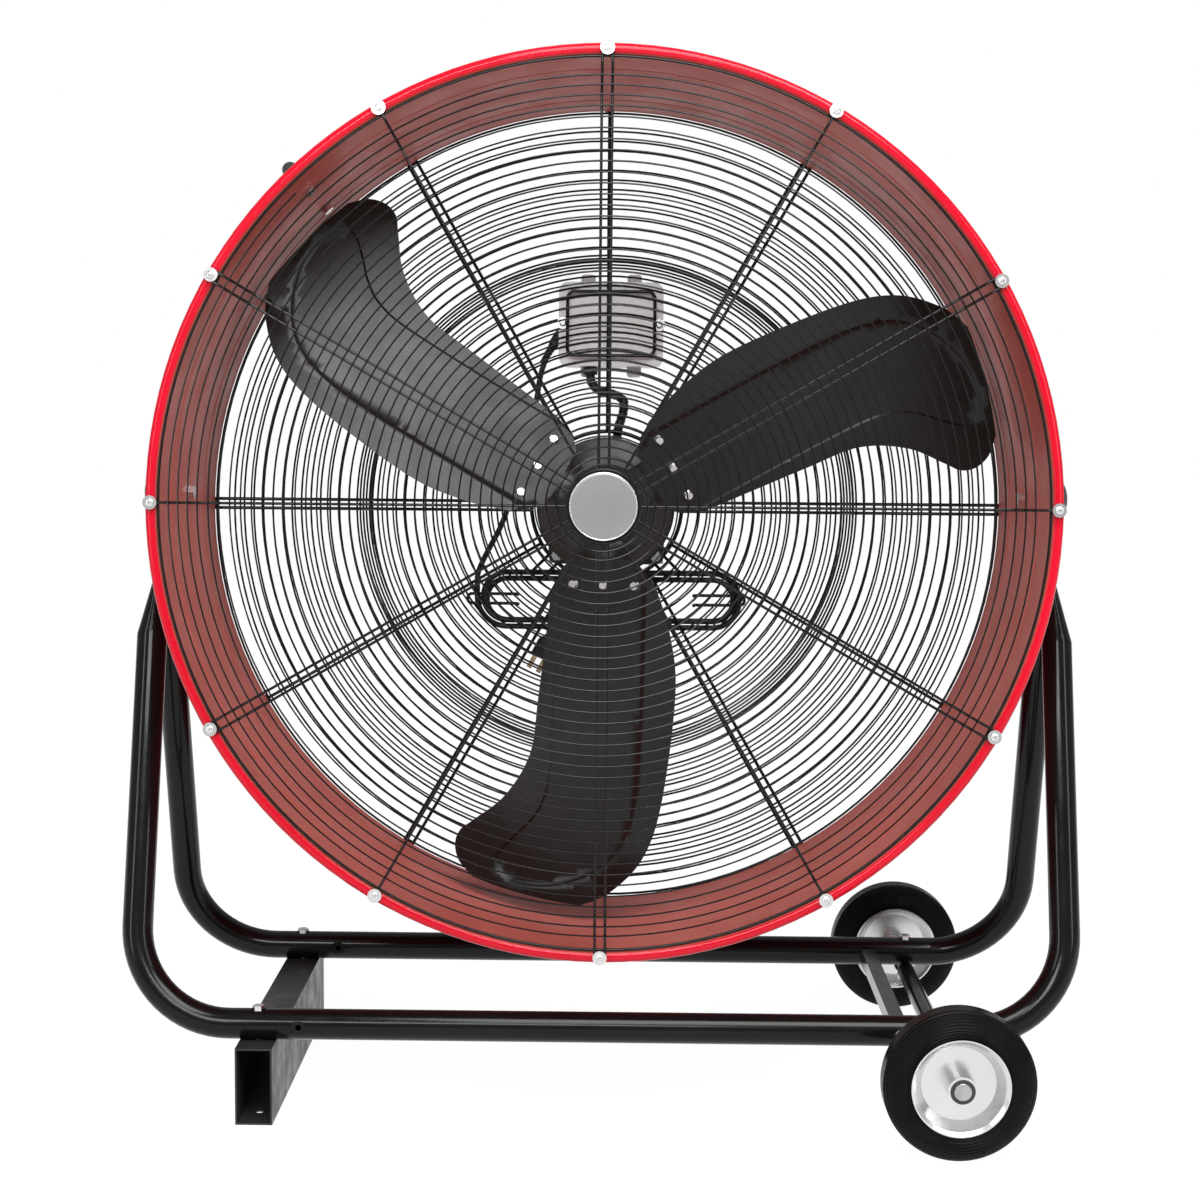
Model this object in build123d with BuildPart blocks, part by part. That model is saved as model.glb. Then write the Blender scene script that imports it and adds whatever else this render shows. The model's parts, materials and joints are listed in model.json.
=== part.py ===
from build123d import *
import os
from math import atan2, cos, degrees, hypot, pi, radians, sin, sqrt, tan

# A 914 mm drum fan that tilts between two leaning tube frames, with a foot bar on its left and
# two wheels on its right. Millimetres, +Z up, the floor at Z = 0 and the front towards -Y.
# The pieces that tilt are drawn level, about the middle of the drum, and then set in place.

os.makedirs("parts", exist_ok=True)

# ---------------------------------------------------------------- stand
tube_d = 33.4
tube_wall = 2.5
frame_spread = 170.0          # from the middle to the bottom run of each frame
leg_clearance = 33.0          # from the inner wall of the drum to the axis of each leg
frame_bend_r = 105.0
lug_width = 44.0
lug_thickness = 4.5
lug_gap = 0.3
lug_inset = 2.0               # from the inner side of the leg, towards the drum
flatten_start = 165.0         # below the pivot, along the leg
flatten_end = 62.0
foot_width = 40.0
foot_height = 84.0
foot_length = 418.0
foot_wall = 2.0
foot_inset = 137.5            # from the axis of the left legs
anchor_hole_d = 9.0
bolt_d = 8.0
bolt_head_d = 14.0
bolt_head_height = 5.5
bolt_clearance = 0.2
nut_size = 13.0
nut_height = 6.5
spot_face_d = 16.0
spot_face_depth = 1.5
brace_inset = 182.5           # from the axis of each leg
brace_size = 16.5
brace_wall = 1.5
insert_length = 16.0
brace_screw_d = 6.0
seat_gap = 0.1                # left between a piece and the round tube that it meets

# ---------------------------------------------------------------- wheels
tyre_d = 160.0
tyre_width = 40.0
tread_half_width = 9.5
tread_groove = 1.6
tread_groove_spacing = 6.0
rim_flange_r = 51.5
rim_disc_r = 39.0
rim_half_width = 22.0
rim_sheet = 2.0
hub_d = 31.0
hub_wall = 2.5
hub_half_length = 31.0
bush_length = 14.0
axle_d = 14.0
axle_inset = 134.5            # from the axis of the right legs
axle_sleeve_d = 21.0
wheel_spread = 284.5          # from the middle to the mid plane of each wheel
running_gap = 0.08            # radial, on shafts and pins
end_gap = 0.3                 # along an axis, between pieces that turn against each other
cap_d = 18.0
cap_height = 1.2

# ---------------------------------------------------------------- drum
pivot_height = 670.0
pivot_above_axis = 12.0
drum_nose_up = 3.35           # degrees, the angle that the drum is set at
drum_depth = 350.0
drum_inner_r = 475.5
drum_sheet = 1.5
bead_r = 6.5
rib_r = 4.0
rib_from_middle = 93.0
pivot_bolt_d = 10.0
pivot_head_d = 17.0
pivot_head_height = 7.0
spacer_d = 26.0
knob_d = 50.0
knob_height = 25.0
knob_lobes = 7
knob_scallop_r = 7.0
knob_dome = 9.0               # the fall of its outer face from the middle to the edge
edge_break = 1.0

# ---------------------------------------------------------------- guards
screw_count = 12
screw_d = 4.5
screw_head_d = 8.5
screw_head_height = 3.0
screw_length = 12.0
washer_d = 15.0
washer_thickness = 1.5
spoke_d = 3.0
spiral_d = 1.8
pair_spacing = 11.0
ring_pitch = 11.45
spiral_start_r = 43.5
spiral_first_pitch = 6.4
spiral_turns = 37
weld_gap = 0.05
wire_sides = 12               # of the long ring wires, so that their mesh stays light
rim_wire_d = 2.8
dome_rise = 24.0
dome_centre_rise = 2.0
dome_foot_r = 468.0
dome_knee_r = 428.0
hub_plate_r = 40.0
badge_r = 35.0
badge_height = 2.5
rear_spoke_d = 4.0
rear_ring_d = 2.5
rear_slope_depth = 20.0
rear_knee_r = 306.0
rear_floor_depth = 62.0
rear_floor_r = 288.0
rear_band_rings = 6

# ---------------------------------------------------------------- fan
blade_r = 457.0
blade_count = 3
blade_sheet = 2.0
fan_plane = -24.0
blade_start_r = 55.0
blade_end_r = 460.0
blade_left = -200.0
blade_right = 100.0
blade_root_pitch = 32.0
blade_tip_pitch = 20.0
blade_root_camber = 1.0
blade_tip_camber = 10.0
spider_thickness = 5.0
spider_disc_r = 46.0
root_gap = 14.0               # from the spider's disc to the root of a blade
spider_arm_width = 46.0
pad_width = 92.0
pad_depth = 32.0
rivet_r = 89.0
rivet_spacing = 35.0
rivet_d = 6.0
rivet_head_d = 12.0
hub_boss_d = 46.0
hub_boss_length = 38.0
shaft_d = 16.0

# ---------------------------------------------------------------- motor
motor_r = 78.0
motor_front = 62.0
motor_wall = 4.0
motor_fin = 3.5
motor_fin_count = 9
flange_corner_r = 10.5        # round each bolt of the square flange
flange_thickness = 6.0
flange_bolt_r = 86.5
motor_bolt_angles = (45, 135, 225, 315)
front_bell_length = 18.0
bearing_inset = 8.0
bearing_boss_wall = 5.0
rear_bell_r = 68.0
rear_bell_behind = 18.0       # how far the motor stands out behind the guard
mount_wire_spacing = 15.0
mount_wire_start_r = 74.0
mount_wire_end_r = 126.0
inner_ring_r = 93.5
inner_ring_d = 5.0
clamp_plate = 20.0
clamp_plate_thickness = 3.0
bearing_outer_r = 20.0
bearing_width = 12.0
rotor_r = 48.0
rotor_gap = 0.6
rotor_length = 78.0
winding_length = 14.0

# ---------------------------------------------------------------- electrics
box_x = 3.5
box_z = 226.5
box_width = 130.0
box_height = 104.0
box_depth = 37.0
box_wall = 3.0
box_corner_r = 12.0
box_screw_spread = 60.0
box_ring_gap = 4
box_gap = 0.3
cover_thickness = 3.0
dial_d = 38.0
dial_height = 14.0
gland_d = 15.0
gland_length = 14.0
gland_wall = 1.5
gland_collar = 4.0
gland_wall_z = 214.0
gland_drop = 60.0            # degrees, the way that the power cord leaves the box
lead_gland_x = -22.0
motor_gland_x = 12.0
frame_wire_d = 4.0
frame_wire_width = 108.0
frame_wire_height = 79.0
frame_wire_r = 9.0
ear_width = 18.0
ear_height = 8.0
ear_spacing = 58.0
cover_screw_d = 3.5
dial_pin_d = 6.0
capacitor_d = 30.0
capacitor_length = 62.0
plug_width = 26.0
plug_thickness = 17.0
plug_length = 34.0
plug_neck_d = 11.0
pin_width = 6.3
pin_thickness = 1.5
dial_flutes = 8
tail_start_x = 60.0
pin_length = 19.0
pin_spacing = 13.0
cord_d = 7.0
lead_d = 12.0
hook_wire_d = 4.0
hook_start_x = 110.0
hook_end_x = 176.0
hook_half_gap = 6.0
coil_z = -117.0
coil_x = 5.0
coil_half_span = 128.0
coil_half_height = 34.0
coil_step = 8.0

# ---------------------------------------------------------------- handle
handle_angle = 43.6           # degrees to the left of the top
handle_middle = -9.0
handle_bolt_spacing = 148.0
handle_flat = 72.0            # the straight middle of the grip
handle_shoulder = 17.0        # from the drum to the bend of each post
handle_reach = 36.0
handle_bar_d = 18.0
handle_bend_r = 20.0
handle_foot_d = 32.0
handle_foot_height = 4.0
handle_screw_depth = 12.0


# ---------------------------------------------------------------- worked out
tube_r = tube_d / 2
bottom_run_height = foot_height + tube_r
pivot_rise = pivot_height - bottom_run_height
frame_lean = degrees(atan2(frame_spread, pivot_rise))
leg_length = hypot(frame_spread, pivot_rise)
tyre_r = tyre_d / 2
axle_height = tyre_r
drum_outer_r = drum_inner_r + drum_sheet
bead_centre_r = drum_inner_r + bead_r
drum_front = -drum_depth / 2
drum_back = drum_depth / 2
drum_place = (
    Location((0, 0, pivot_height))
    * Location((0, 0, 0), (-drum_nose_up, 0, 0))
    * Location((0, 0, -pivot_above_axis))
)
frame_half_width = drum_inner_r + leg_clearance
foot_x = foot_inset - frame_half_width
axle_x = frame_half_width - axle_inset
brace_x = frame_half_width - brace_inset
lug_x = {1: frame_half_width - tube_r - lug_inset + lug_thickness / 2}
lug_x[-1] = lug_x[1] + lug_thickness + lug_gap
lug_inner_face = lug_x[1] - lug_thickness / 2
lug_outer_face = lug_x[-1] + lug_thickness / 2
front_spoke_y = drum_front - spoke_d / 2
rear_spoke_y = drum_back + rear_spoke_d / 2
rear_floor = rear_spoke_y + rear_floor_depth
guard_back = rear_floor + rear_spoke_d / 2 + rear_ring_d + weld_gap


def save(piece, name, place=Location()):
    """Write a finished piece under its name, set in its place."""
    piece.part.label = name
    finished = piece.part.moved(place)
    finished.label = name
    export_step(finished, f"parts/{name}.step")


def across(depth):
    """The plane square to the drum's axis at a depth, facing the front."""
    return Plane.XZ.offset(-depth)


def clock(angle):
    """A turn about the drum's axis, clockwise from the top as the front is seen."""
    return Location((0, 0, 0), (0, angle, 0))


def ring_of(piece, angles):
    """The same piece at each of these clock angles."""
    return [clock(angle) * piece.part for angle in angles]


# ---------------------------------------------------------------- the two leaning tube frames
def tube_frame(side):
    """One U of tube whose ends are flattened to lugs; side is -1 in front and 1 behind."""
    base = Plane(
        origin=(0, side * frame_spread, bottom_run_height),
        x_dir=(1, 0, 0),
        z_dir=(0, -cos(radians(frame_lean)), -side * sin(radians(frame_lean))),
    )
    tube_end = leg_length - flatten_start
    run_y = side * frame_spread
    with BuildPart() as frame:
        with BuildLine(base) as path:
            FilletPolyline(
                (-frame_half_width, tube_end),
                (-frame_half_width, 0),
                (frame_half_width, 0),
                (frame_half_width, tube_end),
                radius=frame_bend_r,
            )
        with BuildSketch(Plane(origin=path.line @ 0, z_dir=path.line % 0)):
            Circle(tube_r)
            Circle(tube_r - tube_wall, mode=Mode.SUBTRACT)
        sweep(path=path.line)
        for hand in (-1, 1):
            start = base.from_local_coords((hand * frame_half_width, tube_end, 0))
            end = base.from_local_coords((hand * lug_x[side], leg_length - flatten_end, 0))
            with BuildSketch(Plane(origin=start, x_dir=base.z_dir, z_dir=base.y_dir)):
                Circle(tube_r)
            with BuildSketch(Plane(origin=end, x_dir=base.z_dir, z_dir=base.y_dir)):
                Ellipse(lug_width / 2, lug_thickness / 2)
            loft()
            lug_plane = Plane(
                origin=(hand * lug_x[side], 0, pivot_height), x_dir=base.z_dir, z_dir=(1, 0, 0)
            )
            lug_end = lug_plane.to_local_coords(end)
            with BuildSketch(lug_plane):
                Circle(lug_width / 2)
                with Locations((0, lug_end.Y / 2)):
                    Rectangle(lug_width, abs(lug_end.Y))
                Circle(pivot_bolt_d / 2 + running_gap, mode=Mode.SUBTRACT)
            extrude(amount=lug_thickness / 2, both=True)
        for x in (foot_x, axle_x):
            with Locations((x, run_y, bottom_run_height)):
                Cylinder(bolt_d / 2 + bolt_clearance, 2 * tube_d, mode=Mode.SUBTRACT)
            with Locations((x, run_y, bottom_run_height + tube_r - spot_face_depth)):
                Cylinder(
                    spot_face_d / 2, tube_r,
                    align=(Align.CENTER, Align.CENTER, Align.MIN), mode=Mode.SUBTRACT,
                )
        with Locations((axle_x, run_y, axle_height)):
            Cylinder(
                axle_d / 2 + seat_gap, 2 * tube_d, rotation=(90, 0, 0), mode=Mode.SUBTRACT
            )
        front_face = run_y - tube_r + spot_face_depth
        for x in (-brace_x, brace_x):
            with Locations((x, run_y, bottom_run_height)):
                Cylinder(
                    brace_screw_d / 2 + bolt_clearance, 2 * tube_d, rotation=(90, 0, 0),
                    mode=Mode.SUBTRACT,
                )
        if side < 0:
            dimples = [(-brace_x, front_face, 90), (brace_x, front_face, 90)]
        else:
            rear_face = run_y + tube_r - spot_face_depth
            dimples = [(-brace_x, front_face, 90), (brace_x, rear_face, -90)]
        for x, y, facing in dimples:
            with Locations((x, y, bottom_run_height)):
                Cylinder(
                    spot_face_d / 2, tube_r, rotation=(facing, 0, 0),
                    align=(Align.CENTER, Align.CENTER, Align.MIN), mode=Mode.SUBTRACT,
                )
    return frame


save(tube_frame(-1), "front_frame_tube")
save(tube_frame(1), "rear_frame_tube")

# ---------------------------------------------------------------- foot bar
with BuildPart() as foot_bar:
    with BuildSketch(Plane.XZ):
        with Locations((foot_x, foot_height / 2)):
            Rectangle(foot_width, foot_height)
            Rectangle(
                foot_width - 2 * foot_wall, foot_height - 2 * foot_wall, mode=Mode.SUBTRACT
            )
    extrude(amount=foot_length / 2, both=True)
    for side in (-1, 1):
        with Locations((foot_x, side * frame_spread, foot_height)):
            Cylinder(bolt_d / 2 + bolt_clearance, foot_height / 2, mode=Mode.SUBTRACT)
        with Locations((foot_x, side * frame_spread, 0)):
            Cylinder(anchor_hole_d / 2, foot_height / 2, mode=Mode.SUBTRACT)
save(foot_bar, "foot_bar")

# ---------------------------------------------------------------- bolts of the bottom runs
bolt_seat = bottom_run_height + tube_r - spot_face_depth
nut_top = {foot_x: foot_height - foot_wall, axle_x: axle_height - axle_d / 2}
with BuildPart() as frame_bolts:
    for x in (foot_x, axle_x):
        for side in (-1, 1):
            bolt_end = nut_top[x] - nut_height - 2
            with BuildSketch(Plane.XY.offset(bolt_seat)):
                with Locations((x, side * frame_spread)):
                    RegularPolygon(bolt_head_d / 2, 6)
            extrude(amount=bolt_head_height)
            with BuildSketch(Plane.XY.offset(bolt_end)):
                with Locations((x, side * frame_spread)):
                    Circle(bolt_d / 2)
            extrude(amount=bolt_seat - bolt_end)
    chamfer(frame_bolts.faces().group_by(Axis.Z)[-1].edges(), edge_break)
    for x in (foot_x, axle_x):
        with BuildSketch(Plane.XY.offset(nut_top[x])):
            with Locations((x, -frame_spread), (x, frame_spread)):
                RegularPolygon(nut_size / 2, 6, major_radius=False)
                Circle(bolt_d / 2 + running_gap, mode=Mode.SUBTRACT)
        extrude(amount=-nut_height)
save(frame_bolts, "frame_bolts")

# ---------------------------------------------------------------- brace between the frames
with BuildPart() as brace_bar:
    with BuildSketch(Plane.XZ):
        with Locations((brace_x, bottom_run_height)):
            Rectangle(brace_size, brace_size)
            Rectangle(
                brace_size - 2 * brace_wall, brace_size - 2 * brace_wall, mode=Mode.SUBTRACT
            )
    extrude(amount=frame_spread, both=True)
    for side in (-1, 1):
        with Locations((brace_x, side * frame_spread, bottom_run_height)):
            Cylinder(tube_r + seat_gap, 2 * brace_size, rotation=(0, 90, 0), mode=Mode.SUBTRACT)
save(brace_bar, "brace_bar")

insert_end = frame_spread - tube_r - seat_gap
screw_seat = frame_spread + tube_r - spot_face_depth
insert_size = brace_size - 2 * brace_wall - 2 * running_gap
with BuildPart() as brace_screws:
    for side in (-1, 1):
        for depth, radius, length in (
            (screw_seat, brace_screw_d, -bolt_head_height / 2),
            (screw_seat, brace_screw_d / 2, screw_seat - insert_end + insert_length * 0.75),
        ):
            with BuildSketch(Plane.XZ.offset(-side * depth)):
                with Locations((brace_x, bottom_run_height)):
                    Circle(radius)
            extrude(amount=side * length)
        with BuildSketch(Plane.XZ.offset(-side * insert_end)):
            with Locations((brace_x, bottom_run_height)):
                Rectangle(insert_size, insert_size)
                Circle(brace_screw_d / 2 + running_gap, mode=Mode.SUBTRACT)
        extrude(amount=side * insert_length)
save(brace_screws, "brace_screws")

# ---------------------------------------------------------------- axle
axle_end = wheel_spread + hub_half_length + end_gap
with BuildPart() as axle:
    with BuildSketch(Plane.XZ):
        with Locations((axle_x, axle_height)):
            Circle(axle_d / 2)
    extrude(amount=axle_end, both=True)
    with Locations((axle_x, -frame_spread, axle_height), (axle_x, frame_spread, axle_height)):
        Cylinder(bolt_d / 2 + bolt_clearance, 2 * axle_d, mode=Mode.SUBTRACT)
save(axle, "axle")


spacer_end = wheel_spread - hub_half_length - end_gap
with BuildPart() as axle_sleeves:
    for side in (-1, 1):
        for start, end in ((0, frame_spread - tube_r), (frame_spread + tube_r, spacer_end)):
            with BuildSketch(Plane.XZ.offset(-side * start)):
                with Locations((axle_x, axle_height)):
                    Circle(axle_sleeve_d / 2)
                    Circle(axle_d / 2 + running_gap, mode=Mode.SUBTRACT)
            extrude(amount=-side * (end - start))
save(axle_sleeves, "axle_sleeves")

with BuildPart() as axle_caps:
    for side in (-1, 1):
        with BuildSketch(Plane.XZ.offset(-side * axle_end)):
            with Locations((axle_x, axle_height)):
                Circle(cap_d / 2)
        extrude(amount=-side * cap_height)
        rim_edges = axle_caps.faces().sort_by(Axis.Y)[-1 if side > 0 else 0].edges()
        chamfer(rim_edges, cap_height / 3)
save(axle_caps, "axle_caps")


# ---------------------------------------------------------------- wheels
def wheel_place(side):
    return Location((axle_x, side * wheel_spread, axle_height))


with BuildPart() as tyre:
    with BuildSketch(Plane.XY):
        with BuildLine():
            Polyline(
                (rim_disc_r + rim_sheet + 0.9, 0),
                (rim_disc_r + rim_sheet + 1.1, rim_sheet - 0.5),
                (rim_flange_r - 2.2, tyre_width / 2 - 1.5),
                (rim_flange_r + 0.4, tyre_width / 2 - 0.4),
            )
            ThreePointArc(
                (rim_flange_r + 0.4, tyre_width / 2 - 0.4),
                (rim_flange_r + 14.0, tyre_width / 2),
                (tyre_r - 3.0, tyre_width / 2 - 5.0),
            )
            ThreePointArc(
                (tyre_r - 3.0, tyre_width / 2 - 5.0),
                (tyre_r - 0.8, tyre_width / 2 - 7.4),
                (tyre_r, tread_half_width),
            )
            Polyline((tyre_r, tread_half_width), (tyre_r, 0))
            mirror(about=Plane.XZ)
        make_face()
        with Locations([(tyre_r, k * tread_groove_spacing) for k in (-1, 0, 1)]):
            Rectangle(2 * tread_groove, tread_groove, mode=Mode.SUBTRACT)
    revolve(axis=Axis.Y)

with BuildPart() as wheel_rim:
    with BuildSketch(Plane.XY):
        with BuildLine():
            Polyline(
                (hub_d / 2 - hub_wall, 0),
                (hub_d / 2 - hub_wall, hub_half_length),
                (hub_d / 2, hub_half_length),
                (hub_d / 2, rim_sheet),
                (rim_disc_r, rim_sheet),
                (rim_flange_r - 5.0, rim_half_width - 3.0),
                (rim_flange_r - 1.5, rim_half_width),
                (rim_flange_r, rim_half_width),
                (rim_flange_r, rim_half_width - 1.6),
                (rim_flange_r - 2.5, rim_half_width - 3.4),
                (rim_disc_r + rim_sheet + 0.8, rim_sheet - 0.4),
                (rim_disc_r + rim_sheet + 0.8, 0),
            )
            mirror(about=Plane.XZ)
        make_face()
    revolve(axis=Axis.Y)

with BuildPart() as wheel_bushes:
    for side in (-1, 1):
        with BuildSketch(Plane.XZ.offset(-side * hub_half_length)):
            Circle(hub_d / 2 - hub_wall)
            Circle(axle_d / 2 + running_gap, mode=Mode.SUBTRACT)
        extrude(amount=side * bush_length)

for side, wheel in ((-1, "front_wheel"), (1, "rear_wheel")):
    save(tyre, f"{wheel}_tyre", wheel_place(side))
    save(wheel_rim, f"{wheel}_rim", wheel_place(side))
    save(wheel_bushes, f"{wheel}_bushes", wheel_place(side))

# ---------------------------------------------------------------- drum
handle_out = Vector(-sin(radians(handle_angle)), 0, cos(radians(handle_angle)))
handle_bolt_places = [
    Plane(
        origin=handle_out * drum_outer_r
        + Vector(0, handle_middle + side * handle_bolt_spacing / 2, 0),
        x_dir=(0, 1, 0),
        z_dir=handle_out,
    )
    for side in (-1, 1)
]
screw_angles = [360 / screw_count * k for k in range(screw_count)]
with BuildPart() as drum_shell:
    with BuildSketch(Plane.XY):
        with Locations((drum_inner_r + drum_sheet / 2, 0)):
            Rectangle(drum_sheet, drum_depth - 2 * bead_r)
        with Locations(
            (bead_centre_r, drum_front + bead_r), (bead_centre_r, drum_back - bead_r)
        ):
            Circle(bead_r)
            Circle(bead_r - drum_sheet, mode=Mode.SUBTRACT)
        with Locations((drum_inner_r, -rib_from_middle), (drum_inner_r, rib_from_middle)):
            Circle(rib_r)
            Circle(rib_r - drum_sheet, mode=Mode.SUBTRACT)
            Rectangle(
                rib_r, 2 * rib_r, align=(Align.MAX, Align.CENTER), mode=Mode.SUBTRACT
            )
    revolve(axis=Axis.Y)
    for depth in (drum_front, drum_back):
        with BuildSketch(across(depth)):
            with PolarLocations(bead_centre_r, screw_count):
                Circle(screw_d / 2 + weld_gap)
        extrude(amount=2 * drum_sheet, both=True, mode=Mode.SUBTRACT)
    with Locations((0, 0, pivot_above_axis)):
        Cylinder(
            pivot_bolt_d / 2 + bolt_clearance, 2.2 * drum_outer_r, rotation=(0, 90, 0),
            mode=Mode.SUBTRACT,
        )
    for bolt in handle_bolt_places:
        with BuildSketch(bolt):
            Circle(bolt_d / 2 + bolt_clearance)
        extrude(amount=2 * bead_r, both=True, mode=Mode.SUBTRACT)
save(drum_shell, "drum_shell", drum_place)


# ---------------------------------------------------------------- guards
def offset_line(points, distance):
    """An open run of straight lines moved sideways, with its corners mitred."""
    normals = []
    for (r0, y0), (r1, y1) in zip(points, points[1:]):
        length = hypot(r1 - r0, y1 - y0)
        normals.append(((y0 - y1) / length, (r1 - r0) / length))
    moved = []
    for k, (r, y) in enumerate(points):
        before = normals[max(k - 1, 0)]
        after = normals[min(k, len(normals) - 1)]
        share = distance / (1 + before[0] * after[0] + before[1] * after[1])
        moved.append((r + share * (before[0] + after[0]), y + share * (before[1] + after[1])))
    return moved


def depth_on(points, r):
    """The depth of a guard's line at a radius."""
    for (r0, y0), (r1, y1) in zip(points, points[1:]):
        if min(r0, r1) <= r <= max(r0, r1):
            return y0 + (y1 - y0) * (r - r0) / (r1 - r0)
    return points[-1][1] if r > points[-1][0] else points[0][1]


def guard_spokes(line, wire_d, bend_r, pairs_at, short_by):
    """Twelve spoke places, every other one a pair of wires, along one radial line."""
    def wire(aside, points):
        with BuildPart() as spoke:
            with BuildLine(Plane(origin=(aside, 0, 0), x_dir=(0, 0, 1), z_dir=(1, 0, 0))) as path:
                FilletPolyline(*[(r, -y) for r, y in points], radius=bend_r)
            with BuildSketch(Plane(origin=path.line @ 0, z_dir=path.line % 0)):
                Circle(wire_d / 2)
            sweep(path=path.line)
        return spoke

    single_line = line[:-1] + [(line[-1][0] - short_by, line[-1][1])]
    left, right = wire(-pair_spacing / 2, line), wire(pair_spacing / 2, line)
    single = wire(0, single_line)
    paired, alone = screw_angles[pairs_at::2], screw_angles[1 - pairs_at :: 2]
    return ring_of(left, paired) + ring_of(right, paired) + ring_of(single, alone)


def guard_screws(seat, towards):
    """Screws and washers that hold a guard's spokes to the rolled edge of the drum."""
    with BuildPart() as washers:
        with BuildSketch(across(seat)):
            with PolarLocations(bead_centre_r, screw_count):
                Circle(washer_d / 2)
                Circle(screw_d / 2 + weld_gap, mode=Mode.SUBTRACT)
        extrude(amount=-towards * washer_thickness)
    head_seat = seat + towards * washer_thickness
    with BuildPart() as screws:
        with BuildSketch(across(head_seat)):
            with PolarLocations(bead_centre_r, screw_count):
                Circle(screw_head_d / 2)
        extrude(amount=-towards * screw_head_height)
        end = screws.faces().sort_by(Axis.Y)[-screw_count:] if towards > 0 else (
            screws.faces().sort_by(Axis.Y)[:screw_count])
        fillet(end.edges(), screw_head_height * 0.6)
        with BuildSketch(across(head_seat)):
            with PolarLocations(bead_centre_r, screw_count):
                Circle(screw_d / 2)
        extrude(amount=towards * screw_length)
    return washers, screws


# Front guard: spokes behind one spiral wire, and a wire inside the edge of the drum.
rim_wire_r = drum_inner_r - rim_wire_d / 2 - seat_gap
dome_y = front_spoke_y - dome_rise
front_line = [
    (hub_plate_r * 0.7, dome_y - dome_centre_rise),
    (dome_knee_r, dome_y),
    (dome_foot_r, front_spoke_y),
    (bead_centre_r, front_spoke_y),
]
front_wires = guard_spokes(front_line, spoke_d, 4 * spoke_d, 0, screw_d / 2 + spoke_d / 4)
with BuildPart() as front_spokes:
    add(front_wires)
    with Locations((0, drum_front + rim_wire_d / 2 + weld_gap, 0)):
        Torus(rim_wire_r, rim_wire_d / 2, rotation=(90, 0, 0))
save(front_spokes, "front_guard_spokes", drum_place)

spiral_line = offset_line(front_line, -(spoke_d + spiral_d) / 2 - weld_gap)
spiral_radii = [spiral_start_r, spiral_start_r + spiral_first_pitch / 2]
while len(spiral_radii) <= 2 * spiral_turns:
    step = spiral_first_pitch if len(spiral_radii) < 3 else ring_pitch
    spiral_radii.append(spiral_radii[-1] + step / 2)
with BuildPart() as front_guard_spiral:
    with BuildLine() as spiral_path:
        for k, (r0, r1) in enumerate(zip(spiral_radii, spiral_radii[1:])):
            turn = radians(135 - 180 * k)
            outward = Vector(cos(turn), 0, sin(turn))
            start = outward * r0 + Vector(0, depth_on(spiral_line, r0), 0)
            end = outward * -r1 + Vector(0, depth_on(spiral_line, r1), 0)
            across_turn = Vector(sin(turn), 0, -cos(turn)) * ((end - start).length / 2)
            ThreePointArc(start, (start + end) / 2 + across_turn, end)
    with BuildSketch(Plane(origin=spiral_path.line @ 0, z_dir=spiral_path.line % 0)):
        RegularPolygon(spiral_d / 2, wire_sides)
    sweep(path=spiral_path.line)
save(front_guard_spiral, "front_guard_spiral", drum_place)

washers, screws = guard_screws(front_spoke_y - spoke_d / 2, -1)
save(washers, "front_guard_washers", drum_place)
save(screws, "front_guard_screws", drum_place)

# Hub plate and plain badge in the middle of the front guard.
plate_seat = front_line[0][1] - spoke_d / 2 - 0.1
hub_plate_thickness = 2.0
with BuildPart() as hub_plate:
    with BuildSketch(across(plate_seat)):
        Circle(hub_plate_r)
    extrude(amount=hub_plate_thickness)
    fillet(hub_plate.faces().sort_by(Axis.Y)[0].edges(), hub_plate_thickness * 0.7)
save(hub_plate, "front_guard_hub_plate", drum_place)
with BuildPart() as badge:
    with BuildSketch(across(plate_seat - hub_plate_thickness)):
        Circle(badge_r)
    extrude(amount=badge_height)
    fillet(badge.faces().sort_by(Axis.Y)[0].edges(), badge_height * 0.6)
save(badge, "badge", drum_place)

# Rear guard: spokes inside closed rings, dished for the motor.
rear_line = [
    (inner_ring_r - inner_ring_d / 2, rear_floor),
    (rear_floor_r, rear_floor),
    (rear_knee_r, rear_spoke_y + rear_slope_depth),
    (dome_foot_r, rear_spoke_y),
    (bead_centre_r, rear_spoke_y),
]
rear_wires = guard_spokes(
    rear_line, rear_spoke_d, rear_spoke_d, 1, screw_d / 2 + rear_spoke_d / 4
)
with BuildPart() as mount_wires:
    with BuildSketch(Plane.XY.offset(mount_wire_start_r)):
        with Locations((-mount_wire_spacing / 2, rear_floor), (mount_wire_spacing / 2, rear_floor)):
            Circle(rear_spoke_d / 2)
    extrude(amount=mount_wire_end_r - mount_wire_start_r)
with BuildPart() as rear_spokes:
    add(rear_wires + ring_of(mount_wires, motor_bolt_angles))
save(rear_spokes, "rear_guard_spokes", drum_place)

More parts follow.
